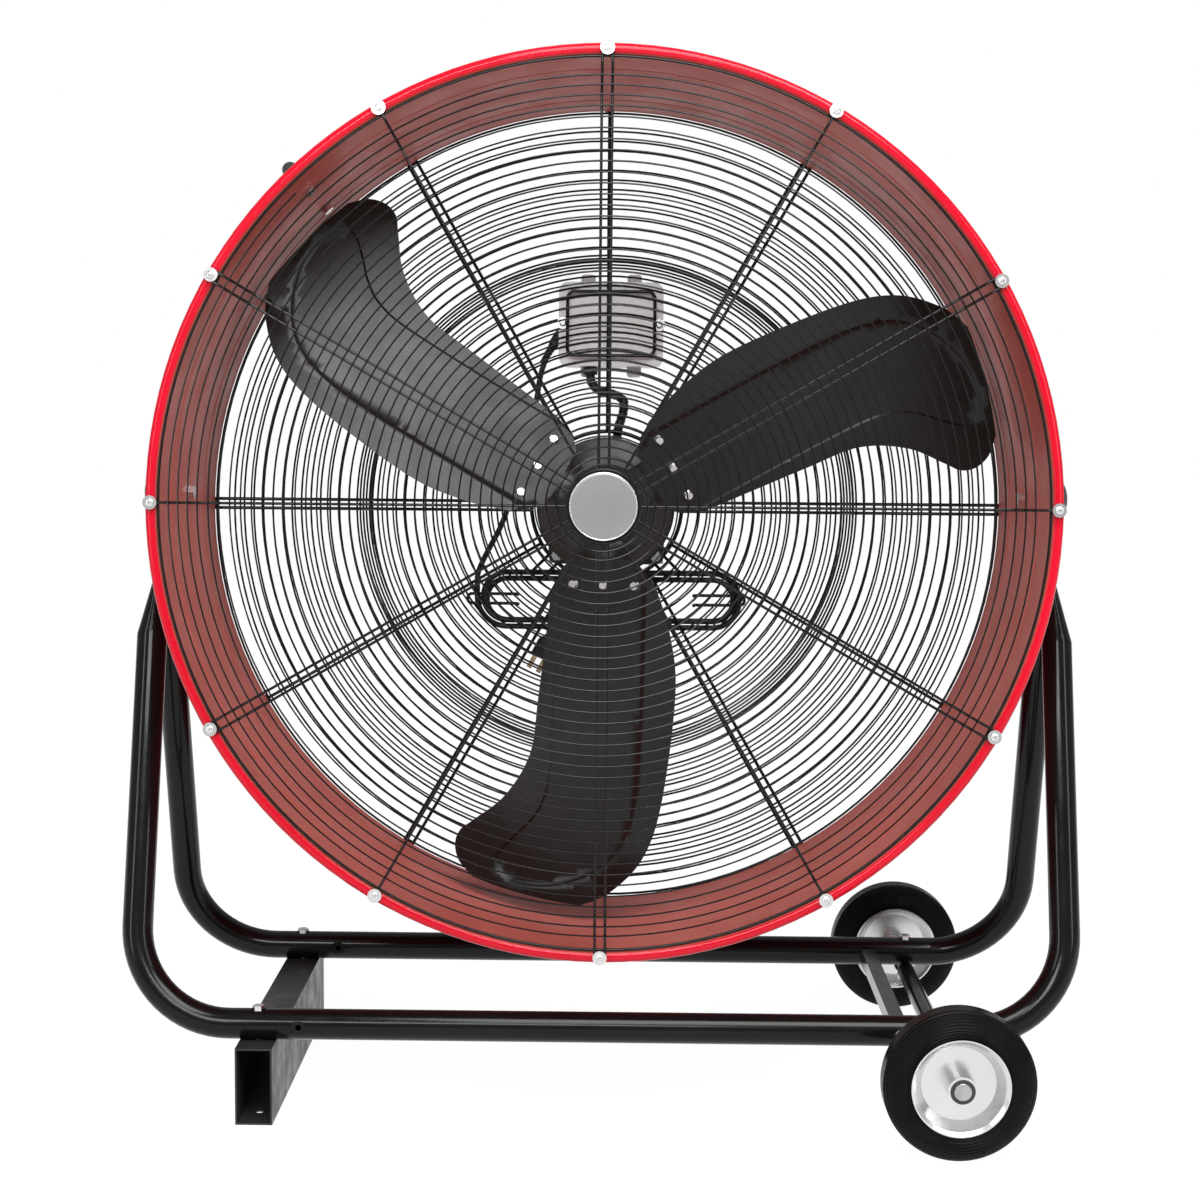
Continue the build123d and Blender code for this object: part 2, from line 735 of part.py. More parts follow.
ring_line = offset_line(rear_line, (rear_spoke_d + rear_ring_d) / 2 + weld_gap)
floor_corner, knee_corner = ring_line[1], ring_line[2]
floor_rings = int((floor_corner[0] - inner_ring_r) / ring_pitch)
slope_rings = int((dome_foot_r - rear_ring_d - knee_corner[0]) / ring_pitch)
ring_radii = [floor_corner[0] - ring_pitch * (k + 0.4) for k in range(floor_rings)]
ring_radii += [
    floor_corner[0] + (knee_corner[0] - floor_corner[0]) * (k + 0.5) / rear_band_rings
    for k in range(rear_band_rings)
]
ring_radii += [knee_corner[0] + ring_pitch * (k + 0.7) for k in range(slope_rings)]
with BuildPart() as rear_guard_rings:
    for r in ring_radii:
        with BuildSketch(Plane.XY):
            with Locations((r, depth_on(ring_line, r))):
                RegularPolygon(rear_ring_d / 2, wire_sides)
        revolve(axis=Axis.Y)
    with Locations((0, rear_floor + (rear_spoke_d + inner_ring_d) / 2 + weld_gap, 0)):
        Torus(inner_ring_r, inner_ring_d / 2, rotation=(90, 0, 0))
    with Locations((0, drum_back - rim_wire_d / 2 - weld_gap, 0)):
        Torus(rim_wire_r, rim_wire_d / 2, rotation=(90, 0, 0))
save(rear_guard_rings, "rear_guard_rings", drum_place)

washers, screws = guard_screws(rear_spoke_y + rear_spoke_d / 2, 1)
save(washers, "rear_guard_washers", drum_place)
save(screws, "rear_guard_screws", drum_place)

# ---------------------------------------------------------------- handle on the drum
with BuildPart() as handle:
    upright = Plane(
        origin=(0, handle_middle, 0), x_dir=(0, 1, 0), z_dir=Vector(0, 1, 0).cross(handle_out)
    )
    half = handle_bolt_spacing / 2
    with BuildLine(upright) as handle_path:
        FilletPolyline(
            (-half, drum_inner_r),
            (-half, drum_outer_r + handle_shoulder),
            (-handle_flat / 2, drum_outer_r + handle_reach),
            (handle_flat / 2, drum_outer_r + handle_reach),
            (half, drum_outer_r + handle_shoulder),
            (half, drum_inner_r),
            radius=handle_bend_r,
        )
    with BuildSketch(Plane(origin=handle_path.line @ 0, z_dir=handle_path.line % 0)):
        Circle(handle_bar_d / 2)
    sweep(path=handle_path.line)
    for place in handle_bolt_places:
        with BuildSketch(place):
            Circle(handle_foot_d / 2)
        extrude(amount=handle_foot_height)
        with BuildSketch(place.offset(-drum_sheet)):
            Circle(handle_foot_d / 2)
        extrude(amount=drum_sheet)
    Cylinder(drum_outer_r + weld_gap, drum_depth, rotation=(90, 0, 0), mode=Mode.SUBTRACT)
    with Locations((0, -rib_from_middle, 0)):
        Torus(drum_inner_r, rib_r + weld_gap, rotation=(90, 0, 0), mode=Mode.SUBTRACT)
    for place in handle_bolt_places:
        with BuildSketch(place):
            Circle(bolt_d / 2 + running_gap)
        extrude(amount=handle_screw_depth + 1, mode=Mode.SUBTRACT)
save(handle, "drum_handle", drum_place)

with BuildPart() as handle_screws:
    for place in handle_bolt_places:
        inner_wall = place.offset(-drum_sheet - end_gap)
        with BuildSketch(inner_wall):
            RegularPolygon(bolt_head_d / 2, 6)
        extrude(amount=-bolt_head_height)
        with BuildSketch(inner_wall):
            Circle(bolt_d / 2)
        extrude(amount=drum_sheet + end_gap + handle_screw_depth)
save(handle_screws, "handle_screws", drum_place)


# ---------------------------------------------------------------- tilt pivots
inner_flat = sqrt(drum_inner_r**2 - (pivot_above_axis + pivot_head_d / 2) ** 2) - weld_gap
pivot_end = lug_outer_face + knob_height - knob_dome
with BuildPart() as pivot_bolts:
    for hand in (-1, 1):
        with BuildSketch(Plane.YZ.offset(hand * inner_flat)):
            with Locations((0, pivot_above_axis)):
                RegularPolygon(pivot_head_d / 2, 6)
        extrude(amount=-hand * pivot_head_height)
        with BuildSketch(Plane.YZ.offset(hand * inner_flat)):
            with Locations((0, pivot_above_axis)):
                Circle(pivot_bolt_d / 2)
        extrude(amount=hand * (pivot_end - inner_flat))
save(pivot_bolts, "pivot_bolts", drum_place)

with BuildPart() as pivot_spacers:
    for hand in (-1, 1):
        with BuildSketch(Plane.YZ.offset(hand * (lug_inner_face - end_gap))):
            with Locations((0, pivot_above_axis)):
                Circle(spacer_d / 2)
                Circle(pivot_bolt_d / 2 + running_gap, mode=Mode.SUBTRACT)
        extrude(amount=-hand * (lug_inner_face - inner_flat))
    Cylinder(drum_outer_r + weld_gap, drum_depth, rotation=(90, 0, 0), mode=Mode.SUBTRACT)
save(pivot_spacers, "pivot_spacers", drum_place)


def pivot_knob(hand):
    """A lobed knob that clamps the lugs of one side."""
    seat = Plane.YZ.offset(hand * (lug_outer_face + end_gap))
    with BuildPart() as knob:
        with BuildSketch(seat):
            with Locations((0, pivot_height)):
                Circle(knob_d / 2)
                with PolarLocations(knob_d / 2 + knob_scallop_r * 0.6, knob_lobes):
                    Circle(knob_scallop_r, mode=Mode.SUBTRACT)
        extrude(amount=hand * knob_height)
        dome_r = ((knob_d / 2) ** 2 + knob_dome**2) / (2 * knob_dome)
        dome_middle = hand * (lug_outer_face + end_gap + knob_height - dome_r)
        with Locations((dome_middle, 0, pivot_height)):
            Sphere(dome_r, mode=Mode.INTERSECT)
        with BuildSketch(seat):
            with Locations((0, pivot_height)):
                Circle(pivot_bolt_d / 2 + running_gap)
        extrude(amount=hand * (pivot_end - lug_outer_face + end_gap), mode=Mode.SUBTRACT)
    return knob


save(pivot_knob(-1), "left_knob")
save(pivot_knob(1), "right_knob")


# ---------------------------------------------------------------- fan
def blade_share(r):
    return (r - blade_start_r) / (blade_end_r - blade_start_r)


def blade_depth(x, r):
    """The depth of the front face of the blade that points down, at a place across it."""
    share = blade_share(r)
    slope = tan(radians(blade_root_pitch)) * (1 - share) + tan(radians(blade_tip_pitch)) * share
    camber = blade_root_camber * (1 - share) + blade_tip_camber * share
    middle = (blade_left + blade_right) / 2
    return fan_plane - x * slope + camber * (1 - ((x - middle) / (blade_right - middle)) ** 2)


def blade_sheet_between(near, far):
    """A twisted sheet, hollow in front, between two depths behind a blade's front face."""
    middle = (blade_left + blade_right) / 2
    with BuildPart() as sheet:
        for r in (blade_start_r, blade_end_r):
            face = [Vector(x, blade_depth(x, r)) for x in (blade_left, middle, blade_right)]
            front = [spot + Vector(0, near) for spot in face]
            back = [spot + Vector(0, far) for spot in face]
            with BuildSketch(Plane.XY.offset(-r)):
                with BuildLine():
                    ThreePointArc(*front)
                    ThreePointArc(*back)
                    Line(front[0], back[0])
                    Line(front[2], back[2])
                make_face()
        loft(ruled=True)
    return sheet.part


rivet_planes = []
for rivet_x in (-rivet_spacing, 0, rivet_spacing):
    rivet_slope = (blade_depth(rivet_x + 1, rivet_r) - blade_depth(rivet_x - 1, rivet_r)) / 2
    rivet_seat = (rivet_x, blade_depth(rivet_x, rivet_r), -rivet_r)
    rivet_planes.append(Plane(origin=rivet_seat, z_dir=(rivet_slope, -1, 0)))
blade_angles = [360 / blade_count * k for k in range(blade_count)]
root_r = spider_disc_r + root_gap
with BuildPart() as blade:
    add(blade_sheet_between(0, blade_sheet))
    with BuildSketch(Plane.XZ):
        with BuildLine():
            tip_left = (-150, -sqrt(blade_r**2 - 150**2))
            tip_right = (-25, -sqrt(blade_r**2 - 25**2))
            Polyline((-61, -99), (-50, -root_r - 12), (-38, -root_r), (34, -root_r))
            Polyline((34, -root_r), (45, -root_r - 12), (58, -89))
            Spline((-61, -99), (-75, -220), (-84, -285), (-113, -335), (-153, -368))
            ThreePointArc((-153, -368), (-172, -394), tip_left)
            ThreePointArc(tip_left, (-88, -sqrt(blade_r**2 - 88**2)), tip_right)
            Spline(tip_right, (9, -440), (46, -398), (67, -332), (81, -209), (74, -141), (58, -89))
        make_face()
    extrude(amount=drum_depth, both=True, mode=Mode.INTERSECT)
    for plane in rivet_planes:
        with BuildSketch(plane):
            Circle(rivet_d / 2 + weld_gap)
        extrude(amount=4 * blade_sheet, both=True, mode=Mode.SUBTRACT)
for k, angle in enumerate(blade_angles):
    save(blade, f"blade_{k + 1}", drum_place * clock(angle))

# The spider carries the blades on three arms that are pressed to their pitch.
spider_front = fan_plane + blade_root_camber + blade_sheet
pad_start_r = root_r - 2
with BuildPart() as spider_pad:
    add(blade_sheet_between(blade_sheet + weld_gap, blade_sheet + spider_thickness))
    with BuildSketch(Plane.XZ):
        with Locations((0, -(pad_start_r + rivet_r) / 2)):
            Rectangle(spider_arm_width, rivet_r - pad_start_r)
        with Locations((0, -rivet_r)):
            Rectangle(pad_width, pad_depth)
    extrude(amount=drum_depth, both=True, mode=Mode.INTERSECT)
    for plane in rivet_planes:
        with BuildSketch(plane):
            Circle(rivet_d / 2 + weld_gap)
        extrude(amount=6 * blade_sheet, both=True, mode=Mode.SUBTRACT)
with BuildPart() as spider_arm:
    half = spider_arm_width / 2
    edges = [
        blade_depth(x, pad_start_r) + blade_sheet + depth
        for x, depth in (
            (-half, 2 * weld_gap), (half, 2 * weld_gap),
            (half, spider_thickness - weld_gap), (-half, spider_thickness - weld_gap),
        )
    ]
    with BuildSketch(Plane.XY.offset(-spider_disc_r + half / 3)):
        with BuildLine():
            Polyline(
                (-half, spider_front + end_gap), (half, spider_front + end_gap),
                (half, spider_front + spider_thickness - end_gap),
                (-half, spider_front + spider_thickness - end_gap), close=True,
            )
        make_face()
    with BuildSketch(Plane.XY.offset(-pad_start_r - 1)):
        with BuildLine():
            Polyline(*zip((-half, half, half, -half), edges), close=True)
        make_face()
    loft(ruled=True)
hub_front = spider_front - hub_boss_length * 0.3
with BuildPart() as fan_spider:
    with BuildSketch(across(spider_front)):
        Circle(spider_disc_r)
    extrude(amount=-spider_thickness)
    with BuildSketch(across(hub_front)):
        Circle(hub_boss_d / 2)
    extrude(amount=-hub_boss_length)
    add(ring_of(spider_arm, blade_angles) + ring_of(spider_pad, blade_angles))
    with BuildSketch(Plane.XZ):
        Circle(shaft_d / 2 + weld_gap)
    extrude(amount=drum_depth / 2, both=True, mode=Mode.SUBTRACT)
save(fan_spider, "fan_spider", drum_place)

grip = (blade_sheet + spider_thickness) / hypot(1, rivet_slope)
with BuildPart() as rivet_row:
    with BuildSketch(*[plane.offset(end_gap) for plane in rivet_planes]):
        Circle(rivet_head_d / 2)
    extrude(amount=rivet_head_d * 0.28, taper=24)
    with BuildSketch(*[plane.offset(-grip - end_gap) for plane in rivet_planes]):
        Circle(rivet_head_d * 0.42)
    extrude(amount=-rivet_head_d * 0.2, taper=24)
    with BuildSketch(*[plane.offset(end_gap) for plane in rivet_planes]):
        Circle(rivet_d / 2)
    extrude(amount=-grip - 2 * end_gap)
with BuildPart() as blade_rivets:
    add(ring_of(rivet_row, blade_angles))
save(blade_rivets, "blade_rivets", drum_place)

# ---------------------------------------------------------------- motor
flange_back = rear_floor - rear_spoke_d / 2 - weld_gap
flange_front = flange_back - flange_thickness
motor_back = guard_back + rear_bell_behind
front_bearing = motor_front + bearing_inset
rear_bearing = motor_back - motor_wall - bearing_width
with BuildPart() as motor_shaft:
    with BuildSketch(across(hub_front)):
        Circle(shaft_d / 2)
    extrude(amount=-(rear_bearing + bearing_width - hub_front))
    chamfer(motor_shaft.edges().group_by(Axis.Y)[0], edge_break)
save(motor_shaft, "motor_shaft", drum_place)

rotor_middle = (front_bearing + rear_bearing + bearing_width) / 2
with BuildPart() as motor_rotor:
    with BuildSketch(across(rotor_middle)):
        Circle(rotor_r)
        Circle(shaft_d / 2 + weld_gap, mode=Mode.SUBTRACT)
    extrude(amount=rotor_length / 2, both=True)
save(motor_rotor, "motor_rotor", drum_place)

with BuildPart() as motor_bearings:
    for depth in (front_bearing, rear_bearing):
        with BuildSketch(across(depth)):
            Circle(bearing_outer_r)
            Circle(shaft_d / 2 + running_gap, mode=Mode.SUBTRACT)
        extrude(amount=-bearing_width)
save(motor_bearings, "motor_bearings", drum_place)

housing_start = motor_front + front_bell_length
housing_length = flange_front - housing_start
with BuildPart() as motor_housing:
    fin_pitch = housing_length / (motor_fin_count + 1)
    with BuildSketch(across(housing_start)):
        Circle(motor_r)
    extrude(amount=-housing_length)
    for k in range(motor_fin_count):
        with BuildSketch(across(housing_start + fin_pitch * (k + 1))):
            Circle(motor_r + motor_fin)
        extrude(amount=motor_fin / 2, both=True)
    with BuildSketch(across(housing_start)):
        Circle(motor_r - motor_wall)
    extrude(amount=-housing_length, mode=Mode.SUBTRACT)
save(motor_housing, "motor_housing", drum_place)

with BuildPart() as motor_stator:
    with BuildSketch(across(rotor_middle)):
        Circle(motor_r - motor_wall - weld_gap)
        Circle(rotor_r + rotor_gap, mode=Mode.SUBTRACT)
    extrude(amount=rotor_length / 2, both=True)
    for side in (-1, 1):
        with BuildSketch(across(rotor_middle + side * rotor_length / 2)):
            Circle(motor_r - 2 * motor_wall)
            Circle(rotor_r + motor_wall, mode=Mode.SUBTRACT)
        extrude(amount=-side * winding_length)
save(motor_stator, "motor_stator", drum_place)

with BuildPart() as motor_front_bell:
    boss_r = bearing_outer_r + bearing_boss_wall
    with BuildSketch(Plane.XY):
        with BuildLine():
            Polyline(
                (shaft_d / 2 + end_gap, motor_front),
                (boss_r, motor_front),
                (motor_r * 0.77, motor_front + motor_wall),
                (motor_r, housing_start - motor_wall),
                (motor_r, housing_start),
                (motor_r - motor_wall, housing_start),
                (motor_r - motor_wall, housing_start - motor_wall / 2),
                (motor_r * 0.75, motor_front + 2 * motor_wall),
                (boss_r, motor_front + 2 * motor_wall),
                (boss_r, front_bearing + bearing_width),
                (bearing_outer_r + weld_gap, front_bearing + bearing_width),
                (bearing_outer_r + weld_gap, front_bearing),
                (shaft_d / 2 + end_gap, front_bearing),
                close=True,
            )
        make_face()
    revolve(axis=Axis.Y)
save(motor_front_bell, "motor_front_bell", drum_place)

motor_bolt_places = [
    (flange_bolt_r * sin(radians(angle)), flange_bolt_r * cos(radians(angle)))
    for angle in motor_bolt_angles
]
flange_size = 2 * (motor_bolt_places[0][0] + flange_corner_r)
motor_gland_y = guard_back + (rear_bell_behind + rear_spoke_d / 2) / 2
with BuildPart() as motor_rear_bell:
    with BuildSketch(across(flange_front)):
        RectangleRounded(flange_size, flange_size, flange_corner_r)
        Circle(motor_r)
    extrude(amount=-flange_thickness)
    with BuildSketch(across(flange_back)):
        Circle(rear_bell_r)
    extrude(amount=-(motor_back - flange_back))
    fillet(motor_rear_bell.edges().group_by(Axis.Y)[-1], motor_wall)
    with BuildSketch(across(flange_front)):
        Circle(rear_bell_r - motor_wall)
    extrude(amount=-(motor_back - motor_wall - flange_front), mode=Mode.SUBTRACT)
    with BuildSketch(across(rear_bearing)):
        Circle(boss_r)
        Circle(bearing_outer_r + weld_gap, mode=Mode.SUBTRACT)
    extrude(amount=-bearing_width)
    with BuildSketch(across(flange_front)):
        with Locations(*motor_bolt_places):
            Circle(bolt_d / 2 + bolt_clearance)
    extrude(amount=-flange_thickness, mode=Mode.SUBTRACT)
    with BuildSketch(Plane.XY):
        with Locations((motor_gland_x, motor_gland_y)):
            Circle(gland_d / 2 - gland_wall)
    extrude(amount=rear_bell_r + motor_wall, mode=Mode.SUBTRACT)
save(motor_rear_bell, "motor_rear_bell", drum_place)

clamp_front = rear_floor + rear_spoke_d / 2 + inner_ring_d + 2 * weld_gap
with BuildPart() as motor_bolts:
    with BuildSketch(across(flange_front)):
        with Locations(*motor_bolt_places):
            RegularPolygon(bolt_head_d / 2, 6)
    extrude(amount=bolt_head_height)
    with BuildSketch(across(flange_front)):
        with Locations(*motor_bolt_places):
            Circle(bolt_d / 2)
    extrude(amount=-(guard_back + inner_ring_d + nut_height * 1.3 - flange_front))
    with BuildSketch(across(clamp_front)):
        with Locations(*motor_bolt_places):
            Rectangle(clamp_plate, clamp_plate)
            Circle(bolt_d / 2 + bolt_clearance, mode=Mode.SUBTRACT)
    extrude(amount=-clamp_plate_thickness)
    with BuildSketch(across(clamp_front + clamp_plate_thickness + weld_gap)):
        with Locations(*motor_bolt_places):
            RegularPolygon(nut_size / 2, 6, major_radius=False)
            Circle(bolt_d / 2 + running_gap, mode=Mode.SUBTRACT)
    extrude(amount=-nut_height)
save(motor_bolts, "motor_bolts", drum_place)

# ---------------------------------------------------------------- junction box
box_front = guard_back + box_gap
box_back = box_front + box_depth
box_middle = box_front + box_depth / 2
gap_r = ring_radii[box_ring_gap] - ring_pitch / 2
box_screw_places = [
    (box_x + hand * box_screw_spread, sqrt(gap_r**2 - (box_x + hand * box_screw_spread) ** 2))
    for hand in (-1, 1)
]
ear_z = (box_height + ear_height) / 2
cover_screw_places = [
    (box_x + i * ear_spacing / 2, box_z + k * ear_z) for i in (-1, 1) for k in (-1, 1)
]
power_way = Vector(-cos(radians(gland_drop)), 0, -sin(radians(gland_drop)))
power_gland_plane = Plane(origin=(box_x - box_width / 2, box_middle, gland_wall_z), z_dir=power_way)
lead_gland_plane = Plane(
    origin=(lead_gland_x, box_middle, box_z - box_height / 2), z_dir=(0, 0, -1)
)
motor_gland_plane = Plane(origin=(motor_gland_x, motor_gland_y, rear_bell_r), z_dir=(0, 0, 1))
gland_planes = (power_gland_plane, lead_gland_plane, motor_gland_plane)
with BuildPart() as box_outside:
    with BuildSketch(across(box_front)):
        with Locations((box_x, box_z)):
            RectangleRounded(box_width, box_height, box_corner_r)
    extrude(amount=-box_depth)
with BuildPart() as junction_box:
    add(box_outside)
    with BuildSketch(across(box_back)):
        with Locations(*cover_screw_places):
            RectangleRounded(ear_width, 2 * ear_height, ear_height / 2)
    extrude(amount=ear_height)
    with BuildSketch(across(box_front + box_wall)):
        with Locations((box_x, box_z)):
            RectangleRounded(
                box_width - 2 * box_wall, box_height - 2 * box_wall, box_corner_r - box_wall
            )
    extrude(amount=-box_depth, mode=Mode.SUBTRACT)
    with BuildSketch(across(box_front)):
        with Locations(*box_screw_places):
            Circle(screw_d)
    extrude(amount=-screw_length)
    add(box_outside, mode=Mode.INTERSECT)
    with BuildSketch(across(box_back)):
        with Locations(*cover_screw_places):
            RectangleRounded(ear_width, 2 * ear_height, ear_height / 2)
        with Locations((box_x, box_z)):
            Rectangle(box_width - 2 * box_wall, box_height - 2 * box_wall, mode=Mode.SUBTRACT)
    extrude(amount=ear_height)
    with BuildSketch(across(box_front)):
        with Locations(*box_screw_places):
            Circle(screw_d / 2 + weld_gap)
    extrude(amount=-screw_length, mode=Mode.SUBTRACT)
    with BuildSketch(across(box_back)):
        with Locations(*cover_screw_places):
            Circle(cover_screw_d / 2 + weld_gap)
    extrude(amount=ear_height, mode=Mode.SUBTRACT)
    for plane in (power_gland_plane, lead_gland_plane):
        with BuildSketch(plane):
            Circle(gland_d / 2 - gland_wall)
        extrude(amount=gland_d, both=True, mode=Mode.SUBTRACT)
save(junction_box, "junction_box", drum_place)

with BuildPart() as box_cover:
    with BuildSketch(across(box_back + weld_gap)):
        with Locations((box_x, box_z)):
            RectangleRounded(box_width, box_height, box_corner_r)
        with Locations(*cover_screw_places):
            RectangleRounded(ear_width, 2 * ear_height, ear_height / 2)
            Circle(cover_screw_d / 2 + bolt_clearance, mode=Mode.SUBTRACT)
        with Locations((box_x, box_z)):
            Circle(dial_pin_d / 2 + running_gap, mode=Mode.SUBTRACT)
    extrude(amount=-cover_thickness)
save(box_cover, "box_cover", drum_place)

cover_back = box_back + weld_gap + cover_thickness
with BuildPart() as box_screws:
    screw_seat_y = rear_floor + rear_spoke_d / 2 - washer_thickness
    with BuildSketch(across(screw_seat_y)):
        with Locations(*box_screw_places):
            Circle(washer_d / 2)
    extrude(amount=-washer_thickness)
    with BuildSketch(across(screw_seat_y)):
        with Locations(*box_screw_places):
            Circle(screw_head_d / 2)
    extrude(amount=screw_head_height)
    fillet(box_screws.faces().sort_by(Axis.Y)[:2].edges(), screw_head_height * 0.6)
    with BuildSketch(across(screw_seat_y)):
        with Locations(*box_screw_places):
            Circle(screw_d / 2)
    extrude(amount=-(box_front + screw_length - edge_break - screw_seat_y))
    with BuildSketch(across(cover_back)):
        with Locations(*cover_screw_places):
            Circle(cover_screw_d)
    extrude(amount=-cover_screw_d / 2)
    with BuildSketch(across(cover_back)):
        with Locations(*cover_screw_places):
            Circle(cover_screw_d / 2)
    extrude(amount=cover_thickness + ear_height - edge_break)
save(box_screws, "box_screws", drum_place)

with BuildPart() as speed_dial:
    with BuildSketch(across(cover_back + end_gap)):
        with Locations((box_x, box_z)):
            Circle(dial_d / 2)
    extrude(amount=-dial_height / 3)
    with BuildSketch(across(cover_back + end_gap)):
        with Locations((box_x, box_z)):
            Circle(dial_d * 0.42)
            with PolarLocations(dial_d * 0.47, dial_flutes):
                Circle(dial_d * 0.1, mode=Mode.SUBTRACT)
    extrude(amount=-dial_height)
    with BuildSketch(across(cover_back + end_gap)):
        with Locations((box_x, box_z)):
            Circle(dial_pin_d / 2)
    extrude(amount=cover_thickness + end_gap + dial_height / 2)
save(speed_dial, "speed_dial", drum_place)

capacitor_y = box_front + box_wall + end_gap + capacitor_d / 2
with BuildPart() as capacitor:
    with BuildSketch(Plane.YZ.offset(box_x - capacitor_length / 2)):
        with Locations((capacitor_y, box_z + box_height / 4)):
            Circle(capacitor_d / 2)
    extrude(amount=capacitor_length)
save(capacitor, "capacitor", drum_place)

with BuildPart() as box_frame_wire:
    wire_y = rear_floor - (rear_spoke_d + frame_wire_d) / 2 - weld_gap
    wide, high = frame_wire_width / 2, frame_wire_height / 2
    with BuildLine(across(wire_y)) as wire_path:
        FilletPolyline(
            (box_x - wide, box_z - high), (box_x + wide, box_z - high),
            (box_x + wide, box_z + high), (box_x - wide, box_z + high),
            radius=frame_wire_r, close=True,
        )
    wire_loop = wire_path.wire()
    with BuildSketch(Plane(origin=wire_loop @ 0, z_dir=wire_loop % 0)):
        Circle(frame_wire_d / 2)
    sweep(path=wire_loop)
save(box_frame_wire, "box_frame_wire", drum_place)

# Cord glands: a sleeve with a collar at the wall, cut to the wall where it slants.
gland_lengths = (gland_length, gland_length - gland_collar, gland_length)
gland_bores = (cord_d, lead_d, lead_d)
with BuildPart() as cord_glands:
    for plane, length, bore in zip(gland_planes, gland_lengths, gland_bores):
        with BuildSketch(plane):
            Circle(bore / 2 + 2 * gland_wall)
        extrude(amount=length)
    add(box_outside, mode=Mode.SUBTRACT)
    for plane in gland_planes:
        with BuildSketch(plane.offset(-gland_collar)):
            Circle(gland_d / 2 - gland_wall - seat_gap)
        extrude(amount=gland_collar + seat_gap)
save(cord_glands, "cord_glands", drum_place)

# ---------------------------------------------------------------- cords
def bends(points):
    """The largest radius that the two runs allow at each corner of a cord's route."""
    radii = []
    for a, b, c in zip(points, points[1:], points[2:]):
        before, after = Vector(*b) - Vector(*a), Vector(*c) - Vector(*b)
        turn = radians(before.get_angle(after))
        radii.append(0.45 * min(before.length, after.length) / tan(turn / 2))
    return radii


def cord_tube(name, points, diameter):
    """A cord's round tube along straight runs and tangent arcs."""
    radii = bends(points)
    with BuildPart() as tube:
        with BuildLine() as route:
            FilletPolyline(*points, radius=radii)
        path = route.wire()
        with BuildSketch(Plane(origin=path @ 0, z_dir=path % 0)):
            Circle(diameter / 2)
        sweep(path=path)
    whole = pi * diameter**2 / 4 * path.length
    print(name, "radii", [round(r) for r in radii], "length", round(path.length),
          "volume over section times length", round(tube.part.volume / whole, 5))
    return tube


coil_y = rear_floor + rear_spoke_d / 2 + inner_ring_d + weld_gap + cord_d / 2 + 0.4
second_layer_y = coil_y + coil_step
coil_left = coil_x - coil_half_span
coil_right = coil_x + coil_half_span
drop = coil_step / 2
outer_r = coil_half_height + drop
inner_r = coil_half_height - coil_step
gland_end = power_gland_plane.origin + power_way * gland_length
power_points = [
    (gland_end.X, gland_end.Y, gland_end.Z),
    (gland_end.X + 30 * power_way.X, gland_end.Y, gland_end.Z + 30 * power_way.Z),
    (-89, 259, 128),
    (-107, 254, 55),
    (-128, 251, -20),
    (-149, coil_y, -58),
    (coil_left - outer_r, coil_y, -84),
    (coil_left - outer_r, coil_y, coil_z + drop + cord_d),
]
power_cord = cord_tube("power_cord", power_points, cord_d)
save(power_cord, "power_cord", drum_place)

# The coil: two loops wound inwards against the guard, and one wound out again behind them.
def at(x, z, y=coil_y):
    return Vector(x, y, coil_z + z)


def half_turn(centre_x, centre_z, radius, hand, y):
    """Half a loop's end, as two quarter turns; hand is -1 on the left and 1 on the right."""
    for k in (0, 1):
        a, b, c = [radians(45 * step) for step in (2 * k, 2 * k + 1, 2 * k + 2)]
        ThreePointArc(*[
            at(centre_x + hand * radius * sin(t), centre_z - hand * radius * cos(t), y)
            for t in (a, b, c)
        ])


with BuildPart() as power_cord_coil:
    with BuildLine() as coil_route:
        start = (coil_left - outer_r, drop)
        Line(at(start[0], start[1] + cord_d), at(*start))
        ThreePointArc(
            at(*start),
            at(coil_left - outer_r * sqrt(0.5), drop - outer_r * sqrt(0.5)),
            at(coil_left, -coil_half_height),
        )
        Line(at(coil_left, -coil_half_height), at(coil_right, -coil_half_height))
        half_turn(coil_right, 0, coil_half_height, 1, coil_y)
        Line(at(coil_right, coil_half_height), at(coil_left, coil_half_height))
        half_turn(coil_left, drop, coil_half_height - drop, -1, coil_y)
        Line(at(coil_left, -inner_r), at(coil_right, -inner_r))
        half_turn(coil_right, 0, inner_r, 1, coil_y)
        middle = at(coil_x, inner_r, (coil_y + second_layer_y) / 2)
        climb_start = at(coil_x + coil_half_span / 2, inner_r)
        climb_end = at(coil_x - coil_half_span / 2, inner_r, second_layer_y)
        Line(at(coil_right, inner_r), climb_start)
        TangentArc(climb_start, middle, tangent=(-1, 0, 0))
        TangentArc(middle, climb_end, tangent=coil_route.edges()[-1] % 1)
        Line(climb_end, at(coil_left, inner_r, second_layer_y))
        half_turn(coil_left, 0, inner_r, -1, second_layer_y)
        Line(at(coil_left, -inner_r, second_layer_y), at(coil_right, -inner_r, second_layer_y))
        half_turn(coil_right, drop, coil_half_height - drop, 1, second_layer_y)
        coil_end = at(tail_start_x, coil_half_height, second_layer_y)
        Line(at(coil_right, coil_half_height, second_layer_y), coil_end)
    coil_path = coil_route.wire()
    with BuildSketch(Plane(origin=coil_path @ 0, z_dir=coil_path % 0)):
        Circle(cord_d / 2)
    sweep(path=coil_path)
save(power_cord_coil, "power_cord_coil", drum_place)

steps = round(coil_path.length / 2)
spots = [coil_path @ (k / steps) for k in range(steps + 1)]
away = round(3.5 * cord_d / 2)
least_gap = min(
    (spots[i] - spots[j]).length for i in range(steps + 1) for j in range(i + away, steps + 1)
) - cord_d
print("power_cord_coil length", round(coil_path.length), "least gap to itself",
      round(least_gap, 2), "volume over section times length",
      round(power_cord_coil.part.volume / (pi * cord_d**2 / 4 * coil_path.length), 5))

